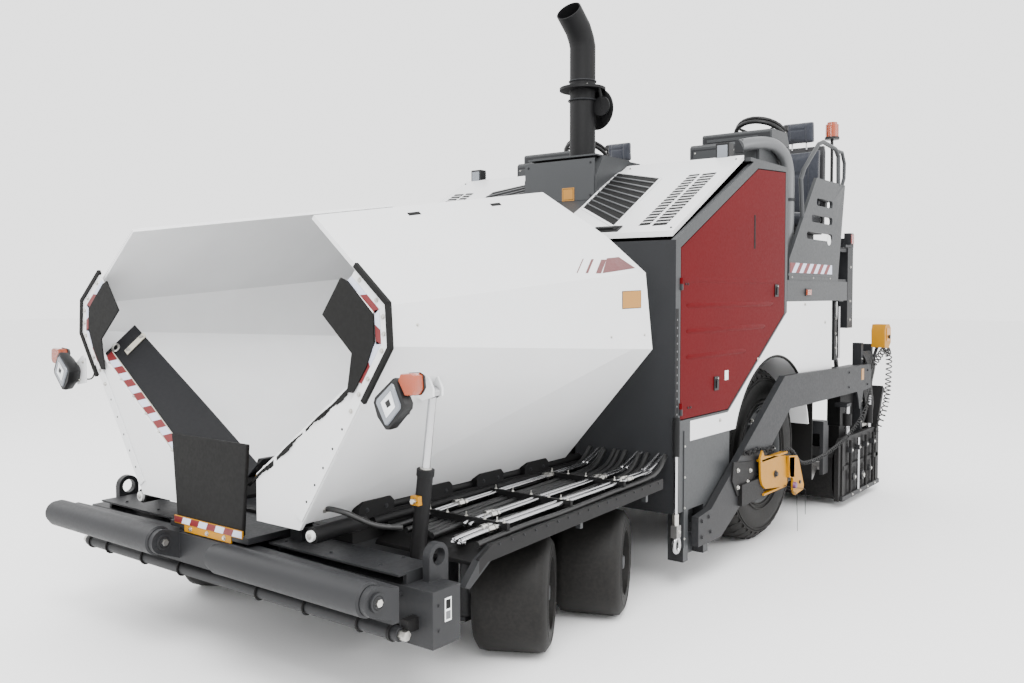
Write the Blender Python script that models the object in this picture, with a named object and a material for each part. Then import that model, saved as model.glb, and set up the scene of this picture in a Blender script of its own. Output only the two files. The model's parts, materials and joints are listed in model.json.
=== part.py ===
"""Wheeled asphalt paver, built piece by piece in metres, +Z up, front towards -Y."""
import math

import bmesh
import bpy
from mathutils import Matrix, Vector

# ---------------------------------------------------------------- driving sizes
Y_CENTRE = 3.0335         # lengths are counted from the push roller axis, then centred
GAP = 0.0003              # between nodes that stand against each other
HALF_WIDTH = 1.275        # over the end boxes
SIDE = 1.22               # outer face of doors and fenders
PANEL = 0.028             # door and fender thickness
BEAM_Y0 = 0.235
BEAM_Y1 = 0.42
ROLLER_Z = 0.571
ROLLER_R = 0.068
ROLLER_IN = 0.235
ROLLER_OUT = 1.172
FRAME_X = 0.58            # outer face of the chassis side plates
FRAME_T = 0.04
FRAME_Z0 = 0.36
FLOOR_Z = 0.60            # conveyor floor
TUNNEL_Z = 0.95
TUNNEL_Y = 2.33
FRAME_Y1 = 4.70
HINGE_X = 0.61            # hopper wing hinge
HINGE_Z = 0.74
WING_T = 0.02
FRONT_R = 0.28            # front solid tyre radius
FRONT_RIM = 0.165
FRONT_W = 0.36
FRONT_X = 1.02
KINGPIN_X = 0.78
AXLE_Y = (1.02, 1.72)
STEER = (30.0, 24.0)      # the front wheels stand turned to the left, front axle and second axle
REAR_R = 0.60
REAR_RIM = 0.315
REAR_W = 0.36
REAR_X = 0.97
REAR_Y = 3.80
BODY_Y0 = 2.33
BODY_Y1 = 4.00
PLATFORM_Z = 1.82
PLATFORM_Y1 = 5.30
TOW_Y = 2.60              # tow point pin
TOW_Z = 0.33
GUIDE_X = 1.15            # outer face of the tow point guide
AUGER_Y = 4.90
AUGER_Z = 0.36
AUGER_R = 0.16
SCREED_Y1 = 5.70
SCREED_Z0 = 0.06
EXTENSION_Z = 0.36
REAR_END = 6.135
BARREL_R = 0.034          # hopper wing cylinder
EYE_R = 0.058             # tie down lugs on the front beam
KNUCKLE_R = 0.012         # door and hood hinges
KNUCKLE_L = 0.035

COLOURS = {
    "white": (0.80, 0.81, 0.81, 1.0, 0.0, 0.35),
    "charcoal": (0.045, 0.048, 0.052, 1.0, 0.3, 0.5),
    "grey": (0.15, 0.155, 0.16, 1.0, 0.2, 0.45),
    "black": (0.012, 0.012, 0.013, 1.0, 0.1, 0.5),
    "red": (0.30, 0.012, 0.02, 1.0, 0.1, 0.35),
    "rubber": (0.014, 0.014, 0.014, 1.0, 0.0, 0.8),
    "steel": (0.55, 0.55, 0.56, 1.0, 1.0, 0.25),
    "amber": (0.85, 0.12, 0.01, 1.0, 0.0, 0.3),
    "seat": (0.03, 0.035, 0.045, 1.0, 0.0, 0.7),
}

for old in list(bpy.data.objects):
    bpy.data.objects.remove(old, do_unlink=True)


# ---------------------------------------------------------------- helpers
def material(name):
    found = bpy.data.materials.get(name)
    if found:
        return found
    red, green, blue, alpha, metallic, rough = COLOURS[name]
    made = bpy.data.materials.new(name)
    made.use_nodes = True
    shader = made.node_tree.nodes["Principled BSDF"]
    shader.inputs["Base Color"].default_value = (red, green, blue, alpha)
    shader.inputs["Metallic"].default_value = metallic
    shader.inputs["Roughness"].default_value = rough
    return made


def is_bent(face):
    a, b, c, d = [v.co for v in face.verts]
    normal = (b - a).cross(c - a)
    if normal.length < 1e-12:
        return True
    return abs((d - a).dot(normal.normalized())) > 1e-6


def solid(verts, faces):
    mesh = bpy.data.meshes.new("piece")
    mesh.from_pydata([tuple(v) for v in verts], [], faces)
    work = bmesh.new()
    work.from_mesh(mesh)
    bent = [face for face in work.faces if len(face.verts) == 4 and is_bent(face)]
    bmesh.ops.triangulate(work, faces=bent)
    bmesh.ops.recalc_face_normals(work, faces=work.faces)
    work.to_mesh(mesh)
    work.free()
    made = bpy.data.objects.new("piece", mesh)
    bpy.context.scene.collection.objects.link(made)
    return made


def prism(points, low, high, place):
    count = len(points)
    verts = [place(a, b, low) for a, b in points]
    verts += [place(a, b, high) for a, b in points]
    faces = [list(range(count)), list(range(2 * count - 1, count - 1, -1))]
    for i in range(count):
        j = (i + 1) % count
        faces.append([i, j, count + j, count + i])
    return solid(verts, faces)


def along_x(points, low, high):
    return prism(points, low, high, lambda a, b, c: (c, a, b))


def along_y(points, low, high):
    return prism(points, low, high, lambda a, b, c: (a, c, b))


def along_z(points, low, high):
    return prism(points, low, high, lambda a, b, c: (a, b, c))


def box(x0, x1, y0, y1, z0, z1):
    return along_z([(x0, y0), (x1, y0), (x1, y1), (x0, y1)], z0, z1)


def circle(a, b, radius, count=24, start=0.0, stop=2 * math.pi):
    step = (stop - start) / count
    whole = abs(stop - start - 2 * math.pi) < 1e-6
    steps = count if whole else count + 1
    return [(a + radius * math.cos(start + i * step), b + radius * math.sin(start + i * step)) for i in range(steps)]


def frame_of(direction):
    direction = direction.normalized()
    other = Vector((0, 0, 1)) if abs(direction.z) < 0.9 else Vector((1, 0, 0))
    side = direction.cross(other).normalized()
    return side, direction.cross(side).normalized()


def ring(centre, side, up, radius, count):
    out = []
    for i in range(count):
        turn = 2 * math.pi * i / count
        out.append(centre + side * radius * math.cos(turn) + up * radius * math.sin(turn))
    return out


def rod(start, end, radius, count=16):
    start = Vector(start)
    end = Vector(end)
    side, up = frame_of(end - start)
    verts = ring(start, side, up, radius, count) + ring(end, side, up, radius, count)
    faces = [list(range(count)), list(range(2 * count - 1, count - 1, -1))]
    for i in range(count):
        j = (i + 1) % count
        faces.append([i, j, count + j, count + i])
    return solid(verts, faces)


def pipe(points, radius, count=10, closed=False):
    points = [Vector(p) for p in points]
    total = len(points)
    verts = []
    up = None
    for i, point in enumerate(points):
        before = points[i - 1] if (i > 0 or closed) else point
        after = points[(i + 1) % total] if (i < total - 1 or closed) else point
        first = (point - before).normalized() if (point - before).length > 0 else None
        second = (after - point).normalized() if (after - point).length > 0 else None
        first = first or second
        second = second or first
        tangent = (first + second).normalized()
        if up is None:
            side, up = frame_of(tangent)
        side = up.cross(tangent).normalized()
        up = tangent.cross(side).normalized()
        stretch = 1.0 / max(0.4, math.sqrt((1 + first.dot(second)) / 2))
        bend = second - first
        for k in range(count):
            turn = 2 * math.pi * k / count
            arm = side * math.cos(turn) + up * math.sin(turn)
            if bend.length > 1e-6:
                lean = bend.normalized()
                arm = arm + lean * arm.dot(lean) * (stretch - 1.0)
            verts.append(point + arm * radius)
    faces = []
    for i in range(total if closed else total - 1):
        n = (i + 1) % total
        for k in range(count):
            m = (k + 1) % count
            faces.append([i * count + k, i * count + m, n * count + m, n * count + k])
    if not closed:
        faces.append(list(range(count)))
        faces.append(list(range((total - 1) * count, total * count)))
    return solid(verts, faces)


def turned(profile, y, z, count):
    """A closed outline of (x, radius) pairs spun about an axis along X."""
    verts = []
    index = []
    for x, radius in profile:
        if radius < 1e-6:
            index.append([len(verts)] * count)
            verts.append((x, y, z))
            continue
        index.append(list(range(len(verts), len(verts) + count)))
        for k in range(count):
            turn = 2 * math.pi * k / count
            verts.append((x, y + radius * math.cos(turn), z + radius * math.sin(turn)))
    faces = []
    total = len(profile)
    for i in range(total):
        n = (i + 1) % total
        if profile[i][1] < 1e-6 and profile[n][1] < 1e-6:
            continue
        for k in range(count):
            m = (k + 1) % count
            corner = [index[i][k], index[i][m], index[n][m], index[n][k]]
            corner = list(dict.fromkeys(corner))
            faces.append(corner)
    return solid(verts, faces)


def combine(target, others, operation):
    for other in others:
        step = target.modifiers.new("step", "BOOLEAN")
        step.operation = operation
        step.solver = "EXACT"
        step.object = other
    bpy.context.view_layer.update()
    graph = bpy.context.evaluated_depsgraph_get()
    mesh = bpy.data.meshes.new_from_object(target.evaluated_get(graph))
    target.modifiers.clear()
    target.data = mesh
    for other in others:
        bpy.data.objects.remove(other, do_unlink=True)
    return target


def join(pieces):
    return combine(pieces[0], pieces[1:], "UNION")


def cut(target, cutters):
    return combine(target, cutters, "DIFFERENCE")


def finish(piece, name, colour):
    work = bmesh.new()
    work.from_mesh(piece.data)
    bmesh.ops.remove_doubles(work, verts=work.verts, dist=0.00002)
    bmesh.ops.dissolve_degenerate(work, dist=0.00002, edges=work.edges)
    bmesh.ops.translate(work, verts=work.verts, vec=(0.0, -Y_CENTRE, 0.0))
    bmesh.ops.recalc_face_normals(work, faces=work.faces)
    work.to_mesh(piece.data)
    work.free()
    piece.name = name
    piece.data.name = name
    piece.data.materials.clear()
    piece.data.materials.append(material(colour))
    return piece


def flip(points, sign):
    return [(a * sign, b) for a, b in points]


def span(sign, low, high):
    return (sign * low, sign * high) if sign > 0 else (sign * high, sign * low)


def slab(sign, x0, x1, y0, y1, z0, z1):
    low, high = span(sign, x0, x1)
    return box(low, high, y0, y1, z0, z1)


def plate(sign, points, x0, x1):
    low, high = span(sign, x0, x1)
    return along_x(points, low, high)


SIDES = (("left", 1), ("right", -1))


# ---------------------------------------------------------------- chassis
def chassis():
    outline = [
        (BEAM_Y1 + GAP, FRAME_Z0),
        (FRAME_Y1, FRAME_Z0),
        (FRAME_Y1 + 0.16, 0.62),
        (FRAME_Y1 + 0.16, TUNNEL_Z + 0.025),
        (TUNNEL_Y, TUNNEL_Z + 0.025),
        (TUNNEL_Y, FLOOR_Z),
        (BEAM_Y1 + GAP, FLOOR_Z),
    ]
    inner = FRAME_X - FRAME_T
    pieces = [box(-inner - 0.01, inner + 0.01, BEAM_Y1 + GAP, FRAME_Y1, FRAME_Z0, FRAME_Z0 + 0.025)]
    pieces.append(box(-inner - 0.01, inner + 0.01, BEAM_Y1 + GAP, FRAME_Y1 + 0.10, FLOOR_Z - 0.02, FLOOR_Z))
    pieces.append(box(-inner - 0.01, inner + 0.01, TUNNEL_Y, FRAME_Y1 + 0.16, TUNNEL_Z, TUNNEL_Z + 0.025))
    for name, sign in SIDES:
        pieces.append(plate(sign, outline, inner, FRAME_X))
    beam_y = FRAME_Y1 + 0.14
    pieces.append(box(-1.20, 1.20, beam_y, beam_y + 0.10, 0.62, 0.72))
    pieces.append(box(-0.05, 0.05, beam_y + 0.02, AUGER_Y + 0.09, AUGER_Z - 0.07, 0.66))
    for name, sign in SIDES:
        pieces.append(slab(sign, 1.17, 1.20, beam_y, AUGER_Y + 0.06, AUGER_Z - 0.06, 0.68))
    finish(join(pieces), "chassis_frame", "charcoal")


def front_beam():
    pieces = [box(-1.14, 1.14, BEAM_Y0, BEAM_Y1, FRAME_Z0, 0.56)]
    pieces.append(box(-0.30, 0.30, 0.30, BEAM_Y1, 0.55, 0.64))
    pieces.append(box(-0.30, 0.30, 0.10, BEAM_Y1, 0.615, 0.645))
    pieces.append(rod((-1.17, 0.166, 0.393), (1.17, 0.166, 0.393), 0.03, 16))
    pieces.append(box(-0.06, 0.06, 0.15, BEAM_Y0 + 0.01, 0.435, CARRIER_Z - GAP))
    for name, sign in SIDES:
        pieces.append(slab(sign, 1.12, HALF_WIDTH, BEAM_Y0, 0.40, 0.33, 0.56))
        pieces.append(slab(sign, 0.60, 0.65, 0.15, BEAM_Y0 + 0.01, 0.375, 0.41))
        lug = [(0.378 - EYE_R, 0.54), (0.378 + EYE_R, 0.54)] + circle(0.378, 0.655, EYE_R, 16, 0.0, math.pi)
        eye = plate(sign, lug, 1.14, 1.18)
        pieces.append(eye)
        pieces.append(slab(sign, 0.905, 0.995, BEAM_Y1 - 0.01, 0.437, 0.40, 0.52))
        pieces.append(rod((sign * 0.95, 0.43, 0.46), (sign * 0.95, 0.52, 0.46), 0.014, 12))
        pieces.append(slab(sign, 0.905, 0.995, BEAM_Y1 - 0.01, 0.522, 0.385, 0.405))
        pieces.append(slab(sign, 0.905, 0.995, 0.512, 0.522, 0.39, 0.49))
    beam = join(pieces)
    holes = [rod((sign * 1.10, 0.378, 0.655), (sign * 1.22, 0.378, 0.655), 0.036, 16) for name, sign in SIDES]
    finish(cut(beam, holes), "front_beam", "charcoal")


CARRIER_Z = 0.46


def rollers():
    back = [(-1.2045, 0.085), (1.2045, 0.085), (1.2045, 0.122), (0.25, 0.165), (-0.25, 0.165), (-1.2045, 0.122)]
    pieces = [along_z(back, CARRIER_Z, 0.60)]
    pieces.append(rod((0, 0.193, 0.465), (0, 0.193, 0.595), 0.040, 16))
    for name, sign in SIDES:
        ear = [(0.10, 0.47), (0.10, 0.60)] + circle(0.0, ROLLER_Z, 0.058, 14, math.pi / 2, 3 * math.pi / 2 - 0.2)
        pieces.append(plate(sign, ear, ROLLER_OUT + 0.0025, ROLLER_OUT + 0.0325))
        pieces.append(plate(sign, ear, ROLLER_IN - 0.0325, ROLLER_IN - 0.0025))
        for end in (ROLLER_OUT + GAP, ROLLER_IN - 0.03):
            start = (sign * end, 0.0, ROLLER_Z)
            pieces.append(rod(start, (sign * (end + 0.03 - GAP), 0.0, ROLLER_Z), 0.02, 12))
    finish(join(pieces), "roller_carrier", "charcoal")
    for name, sign in SIDES:
        bevel = 0.008
        shape = [(ROLLER_IN, 0.0), (ROLLER_IN, ROLLER_R - bevel), (ROLLER_IN + bevel, ROLLER_R)]
        shape += [(ROLLER_OUT - bevel, ROLLER_R), (ROLLER_OUT, ROLLER_R - bevel), (ROLLER_OUT, 0.0)]
        made = turned([(sign * x, r) for x, r in shape], 0.0, ROLLER_Z, 32)
        finish(made, "push_roller_" + name, "charcoal")


def front_flap():
    shape = [(-0.25, 0.645 + GAP), (0.25, 0.645 + GAP), (0.29, 1.06), (-0.29, 1.06)]
    finish(along_y(shape, 0.105, 0.125), "front_flap", "rubber")


# ---------------------------------------------------------------- hopper
def trough():
    pieces = [box(-0.60, 0.60, BEAM_Y1 + GAP, 0.47, FLOOR_Z + GAP, 0.66)]
    for name, sign in SIDES:
        rail = [(0.545, FLOOR_Z + GAP), (0.62, FLOOR_Z + GAP), (0.62, 0.70), (0.605, 0.70), (0.545, 0.62)]
        pieces.append(along_y(flip(rail, sign), BEAM_Y1 + GAP, TUNNEL_Y - GAP))
    finish(join(pieces), "hopper_trough", "charcoal")


def offset(points, depth):
    """Move an open outline sideways by a sheet thickness, towards the machine's middle."""
    out = []
    for i, (x, z) in enumerate(points):
        normals = []
        for a, b in ((i - 1, i), (i, i + 1)):
            if a < 0 or b >= len(points):
                continue
            dx = points[b][0] - points[a][0]
            dz = points[b][1] - points[a][1]
            size = math.hypot(dx, dz)
            normals.append((-dz / size, dx / size))
        nx = sum(n[0] for n in normals) / len(normals)
        nz = sum(n[1] for n in normals) / len(normals)
        scale = depth / (nx * nx + nz * nz)
        out.append((x + nx * scale, z + nz * scale))
    return out


WING_STATIONS = (
    (0.155, ((0.61, 0.745), (1.14, 1.52), (1.13, 1.68), (0.69, 2.05))),
    (1.90, ((0.61, 0.745), (1.194, 1.43), (1.15, 1.83), (0.60, 2.30))),
    (2.10, ((0.61, 0.745), (1.20, 1.42), (1.155, 1.84), (0.90, 2.05))),
)
PLATE_SHAPE = ((0.60, 0.72), (1.14, 1.52), (1.13, 1.68), (1.085, 1.715), (1.06, 1.52), (0.94, 1.38), (0.31, 0.93), (0.31, 0.72))
CYL_Y = 0.475
CYL_BASE = (0.95, 0.46)
CYL_EYE = (1.06, 1.31)


def wing(name, sign):
    verts = []
    for y, shape in WING_STATIONS:
        outer = list(shape)
        inner = offset(shape, WING_T)
        for x, z in outer + inner[::-1]:
            verts.append((sign * x, y, z))
    faces = []
    for s in range(2):
        for k in range(8):
            m = (k + 1) % 8
            a = s * 8
            faces.append([a + k, a + m, a + 8 + m, a + 8 + k])
    for s in (0, 2):
        for k in range(3):
            faces.append([s * 8 + k, s * 8 + k + 1, s * 8 + 6 - k, s * 8 + 7 - k])
    pieces = [solid(verts, faces)]
    pieces.append(along_y(flip(PLATE_SHAPE, sign), 0.14, 0.157))
    hinge = rod((sign * HINGE_X, 0.48, HINGE_Z), (sign * HINGE_X, 2.26, HINGE_Z), 0.025, 16)
    pieces.append(hinge)
    for y in (CYL_Y - 0.034, CYL_Y + 0.022):
        lug = [(0.98, 1.30), (1.03, 1.275), (1.09, 1.295), (1.09, 1.33), (1.05, 1.40), (1.03, 1.36)]
        pieces.append(along_y(flip(lug, sign), y, y + 0.012))
    finish(join(pieces), "hopper_wing_" + name, "white")


def apron(name, sign):
    low_out = Vector((sign * 0.955, 0.1575, 1.37))
    low_in = Vector((sign * 0.33, 0.1575, 0.925))
    lean = Vector((-sign * 0.02, 0.27, 0.27))
    across = (low_out - low_in).cross(lean).normalized() * 0.012
    if across.y < 0:
        across = -across
    verts = []
    for shift in (Vector((0, 0, 0)), across):
        verts += [low_out + shift, low_in + shift, low_in + lean + shift, low_out + lean + shift]
    lowest = min(v.y for v in verts)
    push = Vector((0, 0.157 + GAP - lowest, 0))
    verts = [v + push for v in verts]
    faces = [[0, 1, 2, 3], [7, 6, 5, 4]]
    for k in range(4):
        m = (k + 1) % 4
        faces.append([k, m, 4 + m, 4 + k])
    finish(solid(verts, faces), "apron_" + name, "rubber")


def wing_cylinder(name, sign):
    base = Vector((sign * CYL_BASE[0], CYL_Y, CYL_BASE[1]))
    eye = Vector((sign * CYL_EYE[0], CYL_Y, CYL_EYE[1]))
    way = (eye - base).normalized()
    pieces = [rod(base + way * 0.020, base + way * 0.52, BARREL_R, 20)]
    pieces.append(rod(base + Vector((0, -0.022, 0)), base + Vector((0, 0.022, 0)), 0.032, 16))
    barrel = join(pieces)
    cutters = [rod(base + way * 0.055, base + way * 0.60, 0.0185, 16)]
    cutters.append(rod(base + Vector((0, -0.05, 0)), base + Vector((0, 0.05, 0)), 0.0155, 12))
    finish(cut(barrel, cutters), "wing_barrel_" + name, "black")
    pieces = [rod(base + way * 0.36, eye - way * 0.015, 0.018, 16)]
    pieces.append(rod(eye + Vector((0, -0.016, 0)), eye + Vector((0, 0.016, 0)), 0.026, 16))
    made = cut(join(pieces), [rod(eye + Vector((0, -0.05, 0)), eye + Vector((0, 0.05, 0)), 0.0125, 12)])
    finish(made, "wing_rod_" + name, "steel")


# ---------------------------------------------------------------- running gear
def front_axle():
    pieces = [box(-0.06, 0.06, AXLE_Y[0], AXLE_Y[1], 0.22, 0.34)]
    middle = sum(AXLE_Y) / 2
    pieces.append(box(-0.30, 0.30, middle - 0.12, middle + 0.12, 0.24, FRAME_Z0 - GAP))
    for y in AXLE_Y:
        pieces.append(box(-0.68, 0.68, y - 0.05, y + 0.05, 0.22, 0.34))
        for name, sign in SIDES:
            pieces.append(slab(sign, 0.64, 0.69, y - 0.045, y + 0.045, 0.13, 0.45))
            for low in (0.13, 0.426):
                pieces.append(slab(sign, 0.66, 0.80, y - 0.035, y + 0.035, low, low + 0.024))
    finish(join(pieces), "front_axle", "charcoal")


def steer(piece, sign, y, angle):
    """Turn a piece about its kingpin, to the left for a positive angle."""
    pin = Matrix.Translation((sign * KINGPIN_X, y, 0.0))
    piece.data.transform(pin @ Matrix.Rotation(math.radians(angle), 4, "Z") @ pin.inverted())
    return piece


def knuckle(name, sign, y, angle):
    pieces = [rod((sign * KINGPIN_X, y, 0.1545), (sign * KINGPIN_X, y, 0.4255), 0.034, 16)]
    pieces.append(rod((sign * KINGPIN_X, y, FRONT_R), (sign * 1.00, y, FRONT_R), 0.030, 16))
    finish(steer(join(pieces), sign, y, angle), "knuckle_" + name, "charcoal")


def front_wheel(name, sign, y, angle):
    inner = FRONT_X - FRONT_W / 2
    outer = FRONT_X + FRONT_W / 2
    shape = [
        (inner + 0.005, FRONT_RIM + 0.005),
        (inner + 0.002, FRONT_R - 0.04),
        (inner + 0.025, FRONT_R - 0.006),
        (inner + 0.06, FRONT_R),
        (outer - 0.06, FRONT_R),
        (outer - 0.025, FRONT_R - 0.006),
        (outer - 0.002, FRONT_R - 0.04),
        (outer - 0.005, FRONT_RIM + 0.005),
        (outer - 0.06, FRONT_RIM),
        (outer - 0.075, 0.09),
        (outer - 0.035, 0.06),
        (outer - 0.035, 0.0),
        (1.006, 0.0),
        (1.006, 0.0306),
        (inner + 0.07, 0.0306),
        (inner + 0.07, FRONT_RIM - 0.015),
        (inner + 0.06, FRONT_RIM),
    ]
    made = turned([(sign * x, r) for x, r in shape], y, FRONT_R, 40)
    finish(steer(made, sign, y, angle), "front_wheel_" + name, "rubber")


DISC_IN = 0.155           # inner face of the wheel disc, from the tyre's outer side
DISC_LEAN = 0.010


def rear_wheel(name, sign):
    inner = REAR_X - REAR_W / 2
    outer = REAR_X + REAR_W / 2
    bulge = REAR_RIM + 0.544 * (REAR_R - REAR_RIM)
    shape = [
        (inner + 0.03, REAR_RIM + 0.025),
        (inner, bulge),
        (inner + 0.03, REAR_R - 0.04),
        (inner + 0.075, REAR_R - 0.005),
        (inner + 0.13, REAR_R),
        (outer - 0.13, REAR_R),
        (outer - 0.075, REAR_R - 0.005),
        (outer - 0.03, REAR_R - 0.04),
        (outer, bulge),
        (outer - 0.03, REAR_RIM + 0.025),
        (outer - 0.045, REAR_RIM),
        (outer - 0.12, REAR_RIM - 0.015),
        (outer - 0.14, 0.20),
        (outer - 0.06, 0.16),
        (outer - 0.05, 0.0),
        (outer - DISC_IN, 0.0),
        (outer - DISC_IN - DISC_LEAN, REAR_RIM - 0.015),
        (inner + 0.045, REAR_RIM),
    ]
    made = turned([(sign * x, r) for x, r in shape], REAR_Y, REAR_R, 48)
    finish(made, "rear_wheel_" + name, "rubber")


def final_drive(name, sign):
    disc = REAR_X + REAR_W / 2 - DISC_IN
    hub_r = 0.05
    seat_x = disc - DISC_LEAN * hub_r / (REAR_RIM - 0.015) - GAP
    start = (sign * (FRAME_X + GAP), REAR_Y, REAR_R)
    pieces = [rod(start, (sign * (disc - 0.0105), REAR_Y, REAR_R), 0.16, 28)]
    pieces.append(rod(start, (sign * 0.66, REAR_Y, REAR_R), 0.22, 28))
    pieces.append(rod(start, (sign * seat_x, REAR_Y, REAR_R), hub_r, 20))
    finish(join(pieces), "final_drive_" + name, "charcoal")


def fender_tray(name, sign):
    shape = [(0.56, 0.575), (0.66, 0.622), (2.16, 0.66), (2.16, 0.675), (0.655, 0.637), (0.56, 0.592)]
    pieces = [plate(sign, shape, 0.62 + GAP, 1.235)]
    lip = [(0.56, 0.545), (0.62, 0.585), (2.16, 0.64), (2.16, 0.70), (0.655, 0.66), (0.56, 0.61)]
    pieces.append(plate(sign, lip, 1.22, 1.24))
    for y in (0.80, 1.30, 1.80):
        z = 0.63 + (y - 0.66) * 0.0253
        pieces.append(slab(sign, 0.64, 1.20, y, y + 0.025, z, z + 0.045))
    finish(join(pieces), "fender_tray_" + name, "charcoal")


# ---------------------------------------------------------------- body
DOOR = ((2.395, 1.00), (2.395, 1.985), (3.478, 2.545), (3.95, 2.57), (3.95, 1.585), (3.03, 1.00))
ROOF_Y = 3.35
ARCH_R = 0.69


def grow(points, by):
    """Widen a closed outline outwards."""
    out = []
    count = len(points)
    area = sum(points[i][0] * points[(i + 1) % count][1] - points[(i + 1) % count][0] * points[i][1] for i in range(count))
    turn = 1.0 if area > 0 else -1.0
    for i in range(count):
        ax, az = points[i - 1]
        bx, bz = points[i]
        cx, cz = points[(i + 1) % count]
        first = Vector((bz - az, ax - bx)).normalized() * turn
        second = Vector((cz - bz, bx - cx)).normalized() * turn
        mid = (first + second) / 2
        mid = mid * (by / mid.length_squared)
        out.append((bx + mid.x, bz + mid.y))
    return out


def fender_outline():
    edge = grow(DOOR, 0.020)
    start = math.asin((1.11 - REAR_R) / ARCH_R)
    stop = math.pi - math.asin((0.862 - REAR_R) / ARCH_R)
    shape = [(2.52, 0.862), (2.52, edge[5][1]), edge[5], edge[4], (BODY_Y1 + 0.003, edge[4][1] + 0.02)]
    shape += [(BODY_Y1 + 0.003, 1.668), (4.94, 1.668), (4.95, 1.11)]
    return shape + circle(REAR_Y, REAR_R, ARCH_R, 20, start, stop)


DOOR_PIN = (SIDE + 0.002, DOOR[0][0] - 0.003)
DOOR_HINGES = (1.06, 1.78)                     # underside of each door knuckle
HOOD_PIN = (ROOF_Y - 0.007, 2.612)
HOOD_HINGES = (0.40, 1.04)                     # inner end of each hood knuckle


def door_knuckle(sign, z, radius, extra=0.0):
    x, y = DOOR_PIN
    return rod((sign * x, y, z - extra), (sign * x, y, z + KNUCKLE_L + extra), radius, 16)


def hood_knuckle(sign, x, radius, extra=0.0):
    y, z = HOOD_PIN
    return rod((sign * (x - extra), y, z), (sign * (x + KNUCKLE_L + extra), y, z), radius, 16)


def body_shell():
    edge = SIDE - 0.003
    low = TUNNEL_Z + 0.0255
    front = [(-edge, 0.46), (-FRAME_X - GAP, 0.46), (-FRAME_X - GAP, low), (FRAME_X + GAP, low)]
    front += [(FRAME_X + GAP, 0.46), (edge, 0.46), (edge, 2.03), (-edge, 2.03)]
    pieces = [along_y(front, BODY_Y0, BODY_Y0 + 0.03)]
    rear = [(-0.59, low), (0.59, low), (0.59, 1.32), (1.19, 1.32), (1.19, 2.59)]
    rear += [(-1.19, 2.59), (-1.19, 1.32), (-0.59, 1.32)]
    pieces.append(along_y(rear, BODY_Y1 - 0.03, BODY_Y1))
    pieces.append(box(-SIDE, SIDE, ROOF_Y, BODY_Y1, 2.585, 2.61))
    spine = [(BODY_Y0, 2.0), (BODY_Y0, 2.03), (ROOF_Y, 2.595), (BODY_Y1 - 0.01, 2.60), (BODY_Y1 - 0.01, 2.55), (ROOF_Y, 2.54)]
    pieces.append(along_x(spine, -0.30, 0.30))
    chest = [(2.93, 2.30), (2.93, 2.52), (3.02, 2.66), (3.50, 2.66), (3.50, 2.50)]
    pieces.append(along_x(chest, -0.30, 0.30))
    for name, sign in SIDES:
        outline = [(BODY_Y0, 0.46), (BODY_Y0, 2.03), (3.45, 2.61), (BODY_Y1, 2.61), (BODY_Y1, 1.70)]
        outline += [(BODY_Y1, 1.56), (3.06, 0.985), (3.06, 0.46)]
        side = plate(sign, outline, SIDE - 0.032, SIDE)
        side = cut(side, [plate(sign, grow(DOOR, 0.006), SIDE - 0.10, SIDE + 0.05)])
        side = cut(side, [plate(sign, grow(fender_outline(), GAP), SIDE - 0.10, SIDE + 0.05)])
        pieces.append(side)
        pieces.append(slab(sign, 1.10, SIDE, BODY_Y0, BODY_Y0 + 0.058, 0.46, 2.03))
        pieces.append(slab(sign, 1.12, SIDE, 2.70, 2.76, 0.16, 0.60))
        pieces.append(slab(sign, 1.12, SIDE, 2.44, 2.50, 0.16, 0.60))
        pieces.append(slab(sign, 1.16, SIDE - 0.03, 2.34, 3.05, 0.90, 0.93))
        pieces.append(slab(sign, 1.12, GUIDE_X, 2.44, 2.76, 0.16, 0.60))
    shell = join(pieces)
    clear = KNUCKLE_R + 0.0025
    hinges = []
    holes = []
    for name, sign in SIDES:
        for z in DOOR_HINGES:
            holes.append(door_knuckle(sign, z, clear, GAP))
            hinges.append(door_knuckle(sign, z - KNUCKLE_L - GAP, KNUCKLE_R))
        for x in HOOD_HINGES:
            holes.append(hood_knuckle(sign, x, clear, GAP))
            hinges.append(hood_knuckle(sign, x + KNUCKLE_L + GAP, KNUCKLE_R))
    finish(join([cut(shell, holes)] + hinges), "body_shell", "grey")


def side_door(name, sign):
    panel = plate(sign, DOOR, SIDE - PANEL, SIDE)
    holes = [door_knuckle(sign, z - KNUCKLE_L - GAP, KNUCKLE_R + 0.0025, GAP) for z in DOOR_HINGES]
    knuckles = [door_knuckle(sign, z, KNUCKLE_R) for z in DOOR_HINGES]
    finish(join([cut(panel, holes)] + knuckles), "side_door_" + name, "red")


def hood(name, sign):
    shape = [(2.365, 2.052), (2.365, 2.085), (3.335, 2.625), (3.335, 2.592)]
    panel = plate(sign, shape, 0.306, 1.180)
    holes = [hood_knuckle(sign, x + KNUCKLE_L + GAP, KNUCKLE_R + 0.0025, GAP) for x in HOOD_HINGES]
    knuckles = [hood_knuckle(sign, x, KNUCKLE_R) for x in HOOD_HINGES]
    finish(join([cut(panel, holes)] + knuckles), "hood_" + name, "white")


def engine():
    finish(box(-0.45, 0.45, 2.55, 3.85, TUNNEL_Z + 0.0255, 1.75), "engine_block", "charcoal")


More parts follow.
